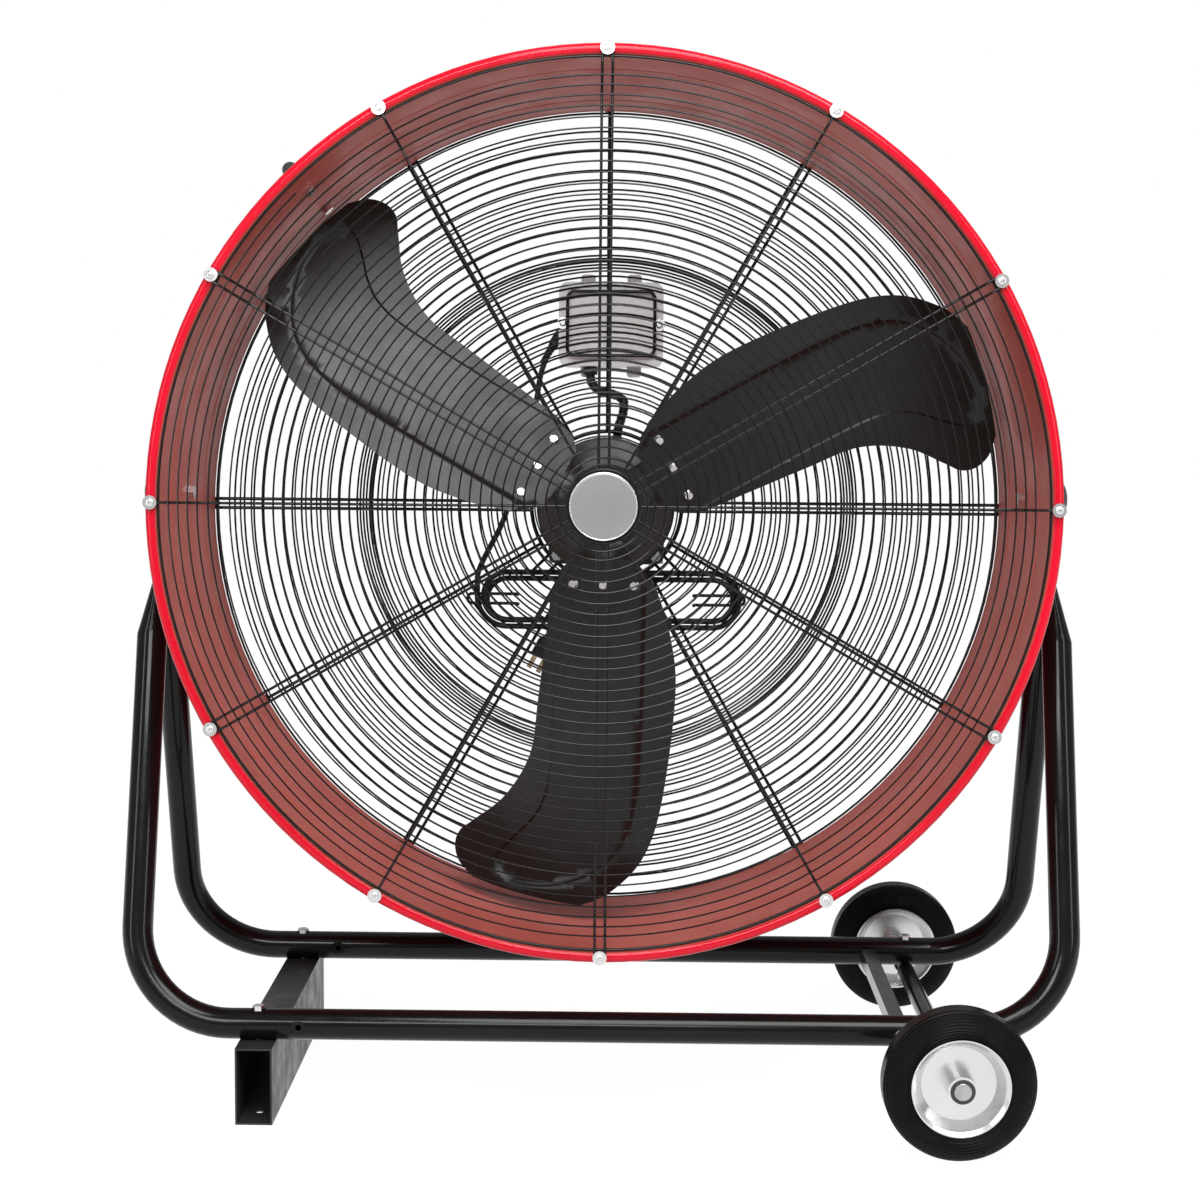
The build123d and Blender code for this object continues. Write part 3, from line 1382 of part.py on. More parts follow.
tail_points = [
    (coil_end.X, coil_end.Y, coil_end.Z),
    (30, coil_end.Y, coil_end.Z),
    (0, coil_end.Y + 5, coil_end.Z),
    (-26, coil_end.Y + 7.8, -98),
    (-50, coil_end.Y + 7.8, -130),
    (-66, coil_end.Y + 7.8, -160),
]
plug_way = (Vector(*tail_points[-1]) - Vector(*tail_points[-2])).normalized()
save(cord_tube("power_cord_tail", tail_points, cord_d), "power_cord_tail", drum_place)

# Plug: a moulded body on the end of the cord, with two flat pins.
plug_start = Vector(*tail_points[-1])
plug_plane = Plane(origin=plug_start, x_dir=(0, 1, 0), z_dir=plug_way)
with BuildPart() as plug:
    with BuildSketch(plug_plane):
        Circle(plug_neck_d / 2)
    with BuildSketch(plug_plane.offset(plug_length * 0.45)):
        RectangleRounded(plug_thickness, plug_width, plug_thickness * 0.3)
    loft()
    with BuildSketch(plug_plane.offset(plug_length * 0.45)):
        RectangleRounded(plug_thickness, plug_width, plug_thickness * 0.3)
    extrude(amount=plug_length * 0.55)
    pin_places = [(0, -pin_spacing / 2), (0, pin_spacing / 2)]
    with BuildSketch(plug_plane.offset(plug_length)):
        with Locations(*pin_places):
            Rectangle(pin_thickness + 2 * seat_gap, pin_width + 2 * seat_gap)
    extrude(amount=-pin_length / 2, mode=Mode.SUBTRACT)
save(plug, "plug", drum_place)
with BuildPart() as plug_pins:
    with BuildSketch(plug_plane.offset(plug_length - pin_length / 2 + seat_gap)):
        with Locations(*pin_places):
            Rectangle(pin_thickness, pin_width)
    extrude(amount=1.5 * pin_length)
save(plug_pins, "plug_pins", drum_place)

# Motor lead: from the top of the motor behind the guard to the bottom of the box.
motor_exit = motor_gland_plane.origin + Vector(0, 0, gland_lengths[2])
box_exit = lead_gland_plane.origin - Vector(0, 0, gland_lengths[1])
lead_points = [
    (motor_exit.X, motor_exit.Y, motor_exit.Z),
    (motor_exit.X, motor_exit.Y, motor_exit.Z + 14),
    (21, motor_exit.Y + 1, 119),
    (20, motor_exit.Y + 4, 138),
    (box_exit.X, box_exit.Y, 146),
    (box_exit.X, box_exit.Y, box_exit.Z),
]
save(cord_tube("motor_lead", lead_points, lead_d), "motor_lead", drum_place)

# Hooks: hairpins of wire that stand out behind the guard and carry the coil's two ends.
hook_y = second_layer_y + (cord_d + hook_wire_d) / 2 + 0.4
with BuildPart() as coil_hooks:
    for hand in (-1, 1):
        tip_x = hand * (hook_end_x - hook_wire_d / 2)
        bend_x = hand * hook_start_x
        corners = [
            (bend_x, guard_back + hook_wire_d / 2, coil_z + hook_half_gap),
            (bend_x, hook_y, coil_z + hook_half_gap),
            (tip_x, hook_y, coil_z + hook_half_gap),
            (tip_x, hook_y, coil_z - hook_half_gap),
            (bend_x, hook_y, coil_z - hook_half_gap),
            (bend_x, guard_back + hook_wire_d / 2, coil_z - hook_half_gap),
        ]
        with BuildLine() as hook_route:
            FilletPolyline(*corners, radius=0.9 * hook_half_gap)
        with BuildSketch(Plane(origin=hook_route.line @ 0, z_dir=hook_route.line % 0)):
            Circle(hook_wire_d / 2)
        sweep(path=hook_route.line)
save(coil_hooks, "coil_hooks", drum_place)
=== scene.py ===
import json
from math import atan2, cos, hypot, pi, radians, sin, sqrt, tan

import bmesh
import bpy
from mathutils import Matrix, Vector
from mathutils.geometry import delaunay_2d_cdt


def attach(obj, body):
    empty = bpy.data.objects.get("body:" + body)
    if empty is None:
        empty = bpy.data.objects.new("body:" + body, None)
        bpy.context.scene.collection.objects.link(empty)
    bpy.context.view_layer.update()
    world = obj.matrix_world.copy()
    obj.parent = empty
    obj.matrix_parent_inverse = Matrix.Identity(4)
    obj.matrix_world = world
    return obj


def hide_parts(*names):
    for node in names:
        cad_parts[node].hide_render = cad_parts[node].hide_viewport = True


# The looks of the drum fan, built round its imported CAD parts. Pieces on the drum are drawn in its own
# level frame in millimetres, X to the right, Y to the back and Z up from its middle, and set in place.

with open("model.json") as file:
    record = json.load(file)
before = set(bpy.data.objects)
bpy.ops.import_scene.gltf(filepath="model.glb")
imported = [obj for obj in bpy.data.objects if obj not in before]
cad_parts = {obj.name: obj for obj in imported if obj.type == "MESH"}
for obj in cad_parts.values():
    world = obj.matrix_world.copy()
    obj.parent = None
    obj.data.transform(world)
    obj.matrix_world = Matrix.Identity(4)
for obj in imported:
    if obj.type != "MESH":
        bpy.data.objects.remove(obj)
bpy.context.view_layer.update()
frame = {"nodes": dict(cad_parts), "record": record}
nodes = frame["nodes"]
MM = 0.001

# ---------------------------------------------------------------- places
NOSE_UP = radians(3.35)
PIVOT_HEIGHT = 0.670
PIVOT_ABOVE_AXIS = 0.012
DRUM = (
    Matrix.Translation((0, 0, PIVOT_HEIGHT))
    @ Matrix.Rotation(-NOSE_UP, 4, "X")
    @ Matrix.Translation((0, 0, -PIVOT_ABOVE_AXIS))
    @ Matrix.Scale(MM, 4)
)
DRUM_HALF_DEPTH = 175.0
BEAD_R = 482.0                # from the drum's axis to the middle of its rolled edge
BEAD_SECTION_R = 6.5
WALL_MARGIN = 2.0             # above the inner wall, for its pressed ribs
SCREW_COUNT = 12
WHEEL_CENTRE = Vector((0.374, 0, 0.080))
TYRE_RING_SPACING = 3.0 * MM


def clock(angle):
    """A turn about the drum's axis, clockwise from the top as the front is seen."""
    return Matrix.Rotation(radians(angle), 4, "Y")


# ---------------------------------------------------------------- materials
def node_material(name):
    material = bpy.data.materials.new(name)
    material.use_nodes = True
    tree = material.node_tree
    return material, tree, tree.nodes["Principled BSDF"]


def add_node(tree, kind, inputs=(), **settings):
    """A new node with its inputs linked or filled in, and its settings."""
    node = tree.nodes.new(kind)
    for key, value in settings.items():
        setattr(node, key, value)
    for key, value in dict(inputs).items():
        if isinstance(value, bpy.types.NodeSocket):
            tree.links.new(value, node.inputs[key])
        else:
            node.inputs[key].default_value = value
    return node


def grey(value):
    return (value, value, value, 1)


def noise(tree, scale, detail=4, stretch=(1, 1, 1)):
    place = add_node(tree, "ShaderNodeTexCoord")
    mapping = add_node(
        tree, "ShaderNodeMapping", {"Vector": place.outputs["Object"], "Scale": stretch}
    )
    return add_node(
        tree, "ShaderNodeTexNoise",
        {"Vector": mapping.outputs["Vector"], "Scale": scale, "Detail": detail},
    ).outputs["Fac"]


def spread(tree, value, low, high, start=0.35, end=0.65):
    return add_node(
        tree, "ShaderNodeMapRange",
        {"Value": value, "From Min": start, "From Max": end, "To Min": low, "To Max": high},
    ).outputs["Result"]


def finish(
    name, dark, light, rough, metal=0.0, specular=0.5, coat=0.0, coat_rough=0.05,
    patch_scale=14.0, grain_scale=900.0, grain_height=0.02, stretch=(1, 1, 1), sharpness=1.0,
):
    """A surface with soft patches between two tones, uneven gloss and a fine grain."""
    material, tree, shader = node_material(name)
    patches = noise(tree, patch_scale)
    tone = add_node(
        tree, "ShaderNodeMix",
        {"Factor": spread(tree, patches, 0, 1), 6: (*dark, 1), 7: (*light, 1)}, data_type="RGBA",
    )
    tree.links.new(tone.outputs[2], shader.inputs["Base Color"])
    gloss = spread(tree, noise(tree, patch_scale * 3), rough[0], rough[1])
    tree.links.new(gloss, shader.inputs["Roughness"])
    grain = noise(tree, grain_scale, 3, stretch)
    bump = add_node(
        tree, "ShaderNodeBump",
        {"Height": grain, "Strength": sharpness, "Distance": grain_height * MM},
    )
    tree.links.new(bump.outputs["Normal"], shader.inputs["Normal"])
    shader.inputs["Metallic"].default_value = metal
    shader.inputs["Specular IOR Level"].default_value = specular
    shader.inputs["Coat Weight"].default_value = coat
    shader.inputs["Coat Roughness"].default_value = coat_rough
    return material


def same(value):
    return (value, value, value)


LOOKS = {
    "tube_black": finish(
        "tube_black", same(0.003), same(0.005), (0.12, 0.2), specular=0.17,
        coat=0.1, patch_scale=9, grain_scale=260, grain_height=0.05,
    ),
    "foot_black": finish(
        "foot_black", same(0.016), same(0.026), (0.32, 0.5), specular=0.4,
        grain_scale=420, grain_height=0.06,
    ),
    "zinc": finish(
        "zinc", same(0.70), same(0.76), (0.22, 0.28), metal=1.0, patch_scale=8,
        grain_scale=700, grain_height=0.03,
    ),
    "axle_steel": finish(
        "axle_steel", same(0.42), same(0.6), (0.22, 0.4), metal=1.0, patch_scale=40,
        grain_scale=900, grain_height=0.03, stretch=(1, 0.1, 1),
    ),
    "bush_plastic": finish(
        "bush_plastic", same(0.02), same(0.035), (0.4, 0.6), grain_scale=600, grain_height=0.03,
    ),
    "drum_red": finish(
        "drum_red", (0.52, 0.001, 0.014), (0.58, 0.002, 0.018), (0.12, 0.18), specular=0.2,
        coat=0.15, patch_scale=6, grain_scale=180, grain_height=0.06,
    ),
    "handle_black": finish(
        "handle_black", same(0.008), same(0.016), (0.35, 0.55), grain_scale=1500,
        grain_height=0.05,
    ),
    "guard_black": finish(
        "guard_black", same(0.002), same(0.004), (0.14, 0.22), specular=0.26, coat=0.15, patch_scale=20,
        grain_scale=500, grain_height=0.03,
    ),
    "badge_grey": finish(
        "badge_grey", same(0.31), same(0.37), (0.30, 0.34), metal=0.85, patch_scale=8,
        grain_scale=260, grain_height=0.006, stretch=(0.04, 1, 4),
    ),
    "blade_black": finish(
        "blade_black", same(0.005), same(0.008), (0.26, 0.34), specular=0.36, patch_scale=12,
        grain_scale=800, grain_height=0.03,
    ),
    "motor_grey": finish(
        "motor_grey", same(0.022), same(0.04), (0.3, 0.45), metal=0.2, patch_scale=30,
        grain_scale=420, grain_height=0.12,
    ),
    "core_iron": finish(
        "core_iron", (0.10, 0.09, 0.08), (0.2, 0.18, 0.16), (0.45, 0.65), metal=0.7,
        grain_scale=300, grain_height=0.1, stretch=(1, 8, 1),
    ),
    "box_silver": finish(
        "box_silver", same(0.88), same(0.94), (0.3, 0.42), metal=0.05, patch_scale=18,
        grain_scale=520, grain_height=0.08,
    ),
    "capacitor_white": finish(
        "capacitor_white", same(0.62), same(0.72), (0.35, 0.5), grain_scale=500,
        grain_height=0.03,
    ),
    "cord_black": finish(
        "cord_black", same(0.009), same(0.016), (0.38, 0.52), specular=0.4, patch_scale=40,
        grain_scale=1200, grain_height=0.05,
    ),
    "plug_black": finish(
        "plug_black", same(0.010), same(0.018), (0.42, 0.58), grain_scale=900, grain_height=0.08,
    ),
    "pin_steel": finish(
        "pin_steel", (0.72, 0.52, 0.30), (0.80, 0.62, 0.38), (0.15, 0.3), metal=1.0,
        patch_scale=90, grain_scale=1500, grain_height=0.02,
    ),
}
# Painted shade: a darker black for the bent trailing flap of each blade, standing in for the dark it
# reflects.
blade_flap_painted_shade = finish(
    "blade_flap_painted_shade", same(0.002), same(0.003), (0.3, 0.42), specular=0.1, patch_scale=12,
    grain_scale=800, grain_height=0.03,
)

# Painted shade: the outside's red paint, darkened and dulled for the shaded inner wall.
drum_inside_shaded_red = finish(
    "drum_inside_shaded_red", (0.42, 0.090, 0.070), (0.49, 0.104, 0.081), (0.34, 0.46), specular=0.07,
    patch_scale=6, grain_scale=180, grain_height=0.06,
)


def tyre_rubber():
    """Black rubber with fine moulded rings on its sides."""
    material, tree, shader = node_material("tyre_rubber")
    shader.inputs["Specular IOR Level"].default_value = 0.09
    patches = noise(tree, 30)
    tone = add_node(
        tree, "ShaderNodeMix",
        {"Factor": spread(tree, patches, 0, 1), 6: grey(0.002), 7: grey(0.004)},
        data_type="RGBA",
    )
    tree.links.new(tone.outputs[2], shader.inputs["Base Color"])
    tree.links.new(spread(tree, noise(tree, 90), 0.24, 0.36), shader.inputs["Roughness"])
    place = add_node(tree, "ShaderNodeTexCoord")
    centred = add_node(
        tree, "ShaderNodeMapping",
        {"Vector": place.outputs["Object"], "Location": -WHEEL_CENTRE},
    )
    waves_per_unit = 20 / (2 * pi)      # that the texture draws at a scale of one
    rings = add_node(
        tree, "ShaderNodeTexWave",
        {
            "Vector": centred.outputs["Vector"],
            "Scale": 1 / (waves_per_unit * TYRE_RING_SPACING),
        },
        wave_type="RINGS", rings_direction="Y",
    )
    ridges = add_node(
        tree, "ShaderNodeBump",
        {"Height": rings.outputs["Fac"], "Strength": 1.0, "Distance": 0.7 * MM},
    )
    grain = add_node(
        tree, "ShaderNodeBump",
        {
            "Height": noise(tree, 700), "Strength": 0.5, "Distance": 0.1 * MM,
            "Normal": ridges.outputs["Normal"],
        },
    )
    tree.links.new(grain.outputs["Normal"], shader.inputs["Normal"])
    return material


LOOKS["tyre_rubber"] = tyre_rubber()


def dress(piece, *materials):
    piece.data.materials.clear()
    for material in materials:
        piece.data.materials.append(material)


for part in frame["record"]["subparts"]:
    dress(nodes[part["node"]], LOOKS[part["material_slot"]])

# The inner wall of the drum takes a darker, duller red than the outside and the edges: painted shade
# and dulled reflection, over paint that is the same red throughout.
dress(nodes["drum_shell"], LOOKS["drum_red"], drum_inside_shaded_red)
to_level = DRUM.inverted() @ nodes["drum_shell"].matrix_world
for face in nodes["drum_shell"].data.polygons:
    spot = to_level @ face.center
    facing = to_level.to_3x3() @ face.normal
    inwards = facing.x * spot.x + facing.z * spot.z < 0
    wall_reach = BEAD_R - BEAD_SECTION_R + WALL_MARGIN
    face.material_index = int(inwards and hypot(spot.x, spot.z) < wall_reach)


# ---------------------------------------------------------------- mesh helpers
def mesh_piece(name, mesh_maker, body, slot, matrix=DRUM, smooth_under=radians(35)):
    """A named mesh piece in its place, that rides on a body and takes a slot's finish."""
    shape = bmesh.new()
    mesh_maker(shape)
    bmesh.ops.transform(shape, matrix=matrix, verts=shape.verts)
    bmesh.ops.recalc_face_normals(shape, faces=shape.faces)
    mesh = bpy.data.meshes.new(name)
    shape.to_mesh(mesh)
    shape.free()
    mesh.shade_smooth()
    mesh.set_sharp_from_angle(angle=smooth_under)
    piece = bpy.data.objects.new(name, mesh)
    bpy.context.scene.collection.objects.link(piece)
    dress(piece, LOOKS[slot])
    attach(piece, body)
    return piece


def turned(shape, profile, matrix, segments=32):
    """A solid turned about the Z axis of a matrix, from (radius, height) points on its outline."""
    rings = []
    for r, z in profile:
        if r < 1e-6:
            rings.append([shape.verts.new(matrix @ Vector((0, 0, z)))])
        else:
            rings.append([
                shape.verts.new(matrix @ Vector((r * cos(t), r * sin(t), z)))
                for t in (2 * pi * k / segments for k in range(segments))
            ])
    for lower, upper in zip(rings, rings[1:]):
        for k in range(segments):
            n = (k + 1) % segments
            corners = [lower[k % len(lower)], lower[n % len(lower)]]
            corners += [upper[n % len(upper)], upper[k % len(upper)]]
            face = list(dict.fromkeys(corners))
            if len(face) > 2:
                shape.faces.new(face)


def smooth_through(points, step):
    """Points a step apart along a smooth line through the given ones."""
    spots = [Vector(p) for p in points]
    spots = [2 * spots[0] - spots[1]] + spots + [2 * spots[-1] - spots[-2]]
    line = []
    for a, b, c, d in zip(spots, spots[1:], spots[2:], spots[3:]):
        count = max(2, round((c - b).length / step))
        for k in range(count):
            t = k / count
            line.append(0.5 * (
                2 * b + (c - a) * t + (2 * a - 5 * b + 4 * c - d) * t**2
                + (3 * b - a - 3 * c + d) * t**3
            ))
    line.append(spots[-2])
    return line


# ---------------------------------------------------------------- fan blades
# A blade is drawn as the one that points down: x across it, z along it from the drum's axis.
BLADE_NEAR_R, BLADE_FAR_R = 55.0, 460.0
BLADE_LEFT, BLADE_RIGHT = -200.0, 100.0
NEAR_PITCH, FAR_PITCH = radians(32), radians(20)
NEAR_CAMBER, FAR_CAMBER = 1.0, 10.0
BLADE_PLANE = -24.0
BLADE_TIP_R = 457.0
BLADE_SHEET = 2.0
RIM_RISE = 2.6                # of the pressed rim over the long panel
RIM_SLOPE_WIDTH = 2.6
TRAILING_BEND = 0.22          # how far the trailing flap bends back for each millimetre of its width
TRAILING_FROM_X = -20.0
TIP_LEFT_X, TIP_RIGHT_X = -150, -25
OUTLINE_STEP = 5
GRID_STEP = 10
GRID_COLUMNS = range(-170, 82, GRID_STEP)
GRID_ROWS = range(-452, -58, GRID_STEP)
GRID_CLEARANCE = 4            # between the outline and the nearest point of the grid


def blade_depth(x, r):
    share = (r - BLADE_NEAR_R) / (BLADE_FAR_R - BLADE_NEAR_R)
    slope = tan(NEAR_PITCH) * (1 - share) + tan(FAR_PITCH) * share
    camber = NEAR_CAMBER * (1 - share) + FAR_CAMBER * share
    middle = (BLADE_LEFT + BLADE_RIGHT) / 2
    return BLADE_PLANE - x * slope + camber * (1 - ((x - middle) / (BLADE_RIGHT - middle)) ** 2)


def blade_outline():
    def on_tip(x):
        return (x, -sqrt(BLADE_TIP_R**2 - x**2))

    tip_left, tip_right = on_tip(TIP_LEFT_X), on_tip(TIP_RIGHT_X)
    root = [(-61, -99), (-50, -72), (-38, -60), (34, -60), (45, -72), (58, -89)]
    trailing = [(58, -89), (74, -141), (81, -209), (67, -332), (46, -398), (9, -440), tip_right]
    tip_steps = range(TIP_RIGHT_X - 15, TIP_LEFT_X + 10, -15)
    tip = [tip_right] + [on_tip(x) for x in tip_steps] + [tip_left]
    lobe = [tip_left, (-167, -414), (-172, -394), (-166, -378), (-153, -368)]
    leading = [(-153, -368), (-113, -335), (-84, -285), (-75, -220), (-61, -99)]
    outline = [Vector(p) for p in root[:-1]]
    for run in (trailing, tip, lobe, leading):
        outline += smooth_through(run, OUTLINE_STEP)[:-1]
    return outline


def panel_line():
    """The edge of the long panel that is pressed back in a blade, open at the root."""
    return smooth_through([
        (-56, -30), (-56, -150), (-60, -290), (-68, -337), (-84, -364), (-108, -388),
        (-124, -410), (-110, -431), (-82, -437), (-50, -434), (-12, -418), (17, -391),
        (33, -352), (40, -300), (44, -200), (46, -30),
    ], OUTLINE_STEP)


def inside(line, x, z):
    hit = False
    for a, b in zip(line, line[1:] + line[:1]):
        if (a.y > z) != (b.y > z) and x < (b.x - a.x) * (z - a.y) / (b.y - a.y) + a.x:
            hit = not hit
    return hit


def nearest(line, x, z):
    """How far a place is from a line, and the nearest place on the line."""
    best = None
    for a, b in zip(line, line[1:]):
        along = b - a
        share = ((x - a.x) * along.x + (z - a.y) * along.y) / max(along.length_squared, 1e-9)
        foot = a + along * min(max(share, 0), 1)
        distance = hypot(x - foot.x, z - foot.y)
        if best is None or distance < best[0]:
            best = (distance, foot)
    return best


def make_blade():
    """The places, the faces and the trailing flap of a blade's front surface."""
    outline = blade_outline()
    edge = panel_line()
    half_slope = RIM_SLOPE_WIDTH / 2
    spots = list(outline)
    for a, b in zip(edge, edge[1:]):
        aside = Vector((a.y - b.y, b.x - a.x)).normalized()
        for away in (-half_slope, 0, half_slope):
            spots.append(a + aside * away)
    for column in GRID_COLUMNS:
        for row in GRID_ROWS:
            far_enough = nearest(edge, column, row)[0] > 2 * half_slope
            if far_enough and nearest(outline, column, row)[0] > GRID_CLEARANCE:
                spots.append(Vector((column, row)))
    loop = list(range(len(outline)))
    flat, _, faces, _, _, _ = delaunay_2d_cdt(spots, [], [loop], 1, 1e-4)
    surface, flap = [], []
    for spot in flat:
        distance, foot = nearest(edge, spot.x, spot.y)
        signed = -distance if inside(edge, spot.x, spot.y) else distance
        share = min(max((signed + half_slope) / RIM_SLOPE_WIDTH, 0), 1)
        lift = RIM_RISE * share**2 * (3 - 2 * share)
        trailing = foot.x > TRAILING_FROM_X and spot.x > foot.x and signed > half_slope
        bend = TRAILING_BEND * (signed - half_slope) if trailing else 0
        surface.append((spot.x, blade_depth(spot.x, -spot.y) - lift + bend, spot.y))
        flap.append(trailing)
    return surface, faces, flap


blade_surface, blade_faces, blade_flap = make_blade()


def add_blade(number):
    def shape_blade(shape):
        front = [shape.verts.new(spot) for spot in blade_surface]
        back = [shape.verts.new((x, y + BLADE_SHEET, z)) for x, y, z in blade_surface]
        edges = {}
        for face in blade_faces:
            front_face = shape.faces.new([front[k] for k in face])
            back_face = shape.faces.new([back[k] for k in reversed(face)])
            # Faces mostly on the trailing flap take the darker black of painted shade.
            dark = sum(blade_flap[k] for k in face) * 2 > len(face)
            front_face.material_index = back_face.material_index = int(dark)
            for a, b in zip(face, list(face[1:]) + [face[0]]):
                edges[tuple(sorted((a, b)))] = edges.get(tuple(sorted((a, b))), 0) + 1
        for (a, b), uses in edges.items():
            if uses == 1:
                shape.faces.new([front[a], front[b], back[b], back[a]])

    piece = mesh_piece(
        f"pressed_blade_{number + 1}", shape_blade, "fan", "blade_black",
        DRUM @ clock(120 * number), radians(50),
    )
    dress(piece, LOOKS["blade_black"], blade_flap_painted_shade)
    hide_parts(f"blade_{number + 1}")


for number in range(3):
    add_blade(number)


# ---------------------------------------------------------------- guard screws
SCREW_HEAD_R = 4.25
SCREW_HEAD_HEIGHT = 3.0
SCREW_SHANK_R = 2.25
SCREW_SHANK_LENGTH = 12.0
RECESS_REACH = 2.6
RECESS_WIDTH = 1.1
RECESS_DEPTH = 1.7
WASHER_THICKNESS = 1.5
WIRE_D = {"front": 3.0, "rear": 4.0}
SCREW_TURN = 37               # from the recess of each screw to the next one's


def recessed_head():
    """A pan head with a cross recess and its shank, along Z with the seat of the head at zero."""
    shape = bmesh.new()
    top = SCREW_HEAD_HEIGHT
    turned(shape, [
        (0, -SCREW_SHANK_LENGTH), (SCREW_SHANK_R * 0.6, -SCREW_SHANK_LENGTH),
        (SCREW_SHANK_R, 1 - SCREW_SHANK_LENGTH), (SCREW_SHANK_R, 0), (SCREW_HEAD_R, 0),
        (SCREW_HEAD_R, top * 0.35), (SCREW_HEAD_R * 0.93, top * 0.68),
        (SCREW_HEAD_R * 0.72, top * 0.9), (SCREW_HEAD_R * 0.4, top), (0, top),
    ], Matrix(), 40)
    bmesh.ops.recalc_face_normals(shape, faces=shape.faces)
    head = bpy.data.meshes.new("head")
    shape.to_mesh(head)
    shape.free()
    cutter = bmesh.new()
    for long_side, short_side in ((RECESS_REACH, RECESS_WIDTH / 2), (RECESS_WIDTH / 2, RECESS_REACH)):
        size = Matrix.Diagonal((2 * long_side, 2 * short_side, 2 * RECESS_DEPTH, 1))
        bmesh.ops.create_cube(cutter, matrix=Matrix.Translation((0, 0, top)) @ size)
    cross = bpy.data.meshes.new("cross")
    cutter.to_mesh(cross)
    cutter.free()
    head_object = bpy.data.objects.new("head", head)
    cross_object = bpy.data.objects.new("cross", cross)
    for item in (head_object, cross_object):
        bpy.context.scene.collection.objects.link(item)
    cut = head_object.modifiers.new("cut", "BOOLEAN")
    cut.operation, cut.object, cut.solver, cut.use_self = "DIFFERENCE", cross_object, "EXACT", True
    graph = bpy.context.evaluated_depsgraph_get()
    result = bpy.data.meshes.new_from_object(head_object.evaluated_get(graph))
    for item in (head_object, cross_object):
        bpy.data.objects.remove(item)
    return result


head_mesh = recessed_head()
for side, towards in (("front", -1), ("rear", 1)):
    seat = towards * (DRUM_HALF_DEPTH + WIRE_D[side] + WASHER_THICKNESS)

    def ring_of_screws(shape, seat=seat, towards=towards):
        for k in range(SCREW_COUNT):
            turn = Matrix.Rotation(radians(SCREW_TURN * k), 4, "Z")
            face = Matrix.Rotation(radians(90 if towards < 0 else -90), 4, "X")
            on_edge = clock(360 / SCREW_COUNT * k) @ Matrix.Translation((0, seat, BEAD_R))
            place = on_edge @ face @ turn
            copy = head_mesh.copy()
            copy.transform(place)
            shape.from_mesh(copy)
            bpy.data.meshes.remove(copy)

    screws = mesh_piece(f"{side}_cross_screws", ring_of_screws, "drum", "zinc")
    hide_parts(f"{side}_guard_screws")


# ---------------------------------------------------------------- badge ring
BADGE_FACE = -208.6
RING_R = 35.2
RING_WIRE_R = 0.8
RING_SIDES = 12
RING_SINK = 1.0               # behind the badge's face


def badge_ring(shape):
    place = Matrix.Translation((0, BADGE_FACE + RING_SINK, 0))
    face = place @ Matrix.Rotation(radians(90), 4, "X")
    profile = [
        (RING_R + RING_WIRE_R * cos(t), RING_WIRE_R * sin(t))
        for t in (2 * pi * k / RING_SIDES for k in range(RING_SIDES + 1))
    ]
    turned(shape, profile, face, 96)
    bmesh.ops.remove_doubles(shape, verts=shape.verts, dist=1e-4)


mesh_piece("badge_bright_ring", badge_ring, "drum", "zinc")


# ---------------------------------------------------------------- power cord
CORD_D = 7.0
NEAR_LAYER, FAR_LAYER = 249.95, 257.95
COIL_LEFT, COIL_RIGHT = -123.0, 133.0
COIL_MIDDLE_X = 5.0
COIL_Z = -117.0


def half_turn(centre_x, centre_z, radius, side, depth, upwards=True):
    """The route's points round one end of a loop, on the corners of an octagon."""
    short = radius * tan(radians(22.5))
    corners = [(-short, -radius), (short, -radius), (radius, -short)]
    corners += [(x, -z) for x, z in reversed(corners)]
    if not upwards:
        corners.reverse()
    return [(centre_x + side * x, depth, COIL_Z + centre_z + z) for x, z in corners]


cord_points = [
    (-68.5, 262.4, 201.9), (-83.5, 262.4, 175.9), (-89, 259, 128), (-107, 254, 55),
    (-128, 251, -20), (-149, NEAR_LAYER, -58), (-161, NEAR_LAYER, -84), (-161, NEAR_LAYER, -97),
    (-161, NEAR_LAYER, -128.7), (-138.7, NEAR_LAYER, -151), (-107.3, NEAR_LAYER, -151),
    (COIL_MIDDLE_X, NEAR_LAYER, -151),
    *half_turn(COIL_RIGHT, 0, 34, 1, NEAR_LAYER),
    (COIL_MIDDLE_X, NEAR_LAYER, COIL_Z + 34),
    *half_turn(COIL_LEFT, 4, 30, -1, NEAR_LAYER, upwards=False),
    (COIL_MIDDLE_X, NEAR_LAYER, COIL_Z - 26),
    *half_turn(COIL_RIGHT, 0, 26, 1, NEAR_LAYER),
    (69, NEAR_LAYER, COIL_Z + 26), (-59, FAR_LAYER, COIL_Z + 26),
    *half_turn(COIL_LEFT, 0, 26, -1, FAR_LAYER, upwards=False),
    (COIL_MIDDLE_X, FAR_LAYER, COIL_Z - 26),
    *half_turn(COIL_RIGHT, 4, 30, 1, FAR_LAYER),
    (80, FAR_LAYER, COIL_Z + 34), (30, FAR_LAYER, -83), (0, 263, -83), (-26, 265.8, -98),
    (-50, 265.8, -130), (-66, 265.8, -160),
]
RELIEF_LENGTH = 26.0
RELIEF_RIBS = 6
RELIEF_COLLAR_R = 6.2
RELIEF_WIDE_R, RELIEF_TAPER = 5.6, 1.6
RELIEF_GROOVE = 0.7


def smooth_curve(name, points, width):
    line = bpy.data.curves.new(name, "CURVE")
    line.dimensions = "3D"
    spline = line.splines.new("NURBS")
    spline.points.add(len(points) - 1)
    for point, spot in zip(spline.points, points):
        point.co = (*(DRUM @ Vector(spot)), 1)
    spline.order_u = 3
    spline.use_endpoint_u = True
    spline.resolution_u = 8
    line.bevel_depth = width / 2 * MM
    line.bevel_resolution = 5
    line.use_fill_caps = True
    piece = bpy.data.objects.new(name, line)
    bpy.context.scene.collection.objects.link(piece)
    return piece


power_cord = smooth_curve("mains_cord", cord_points, CORD_D)
dress(power_cord, LOOKS["cord_black"])
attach(power_cord, "drum")
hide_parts("power_cord", "power_cord_coil", "power_cord_tail")


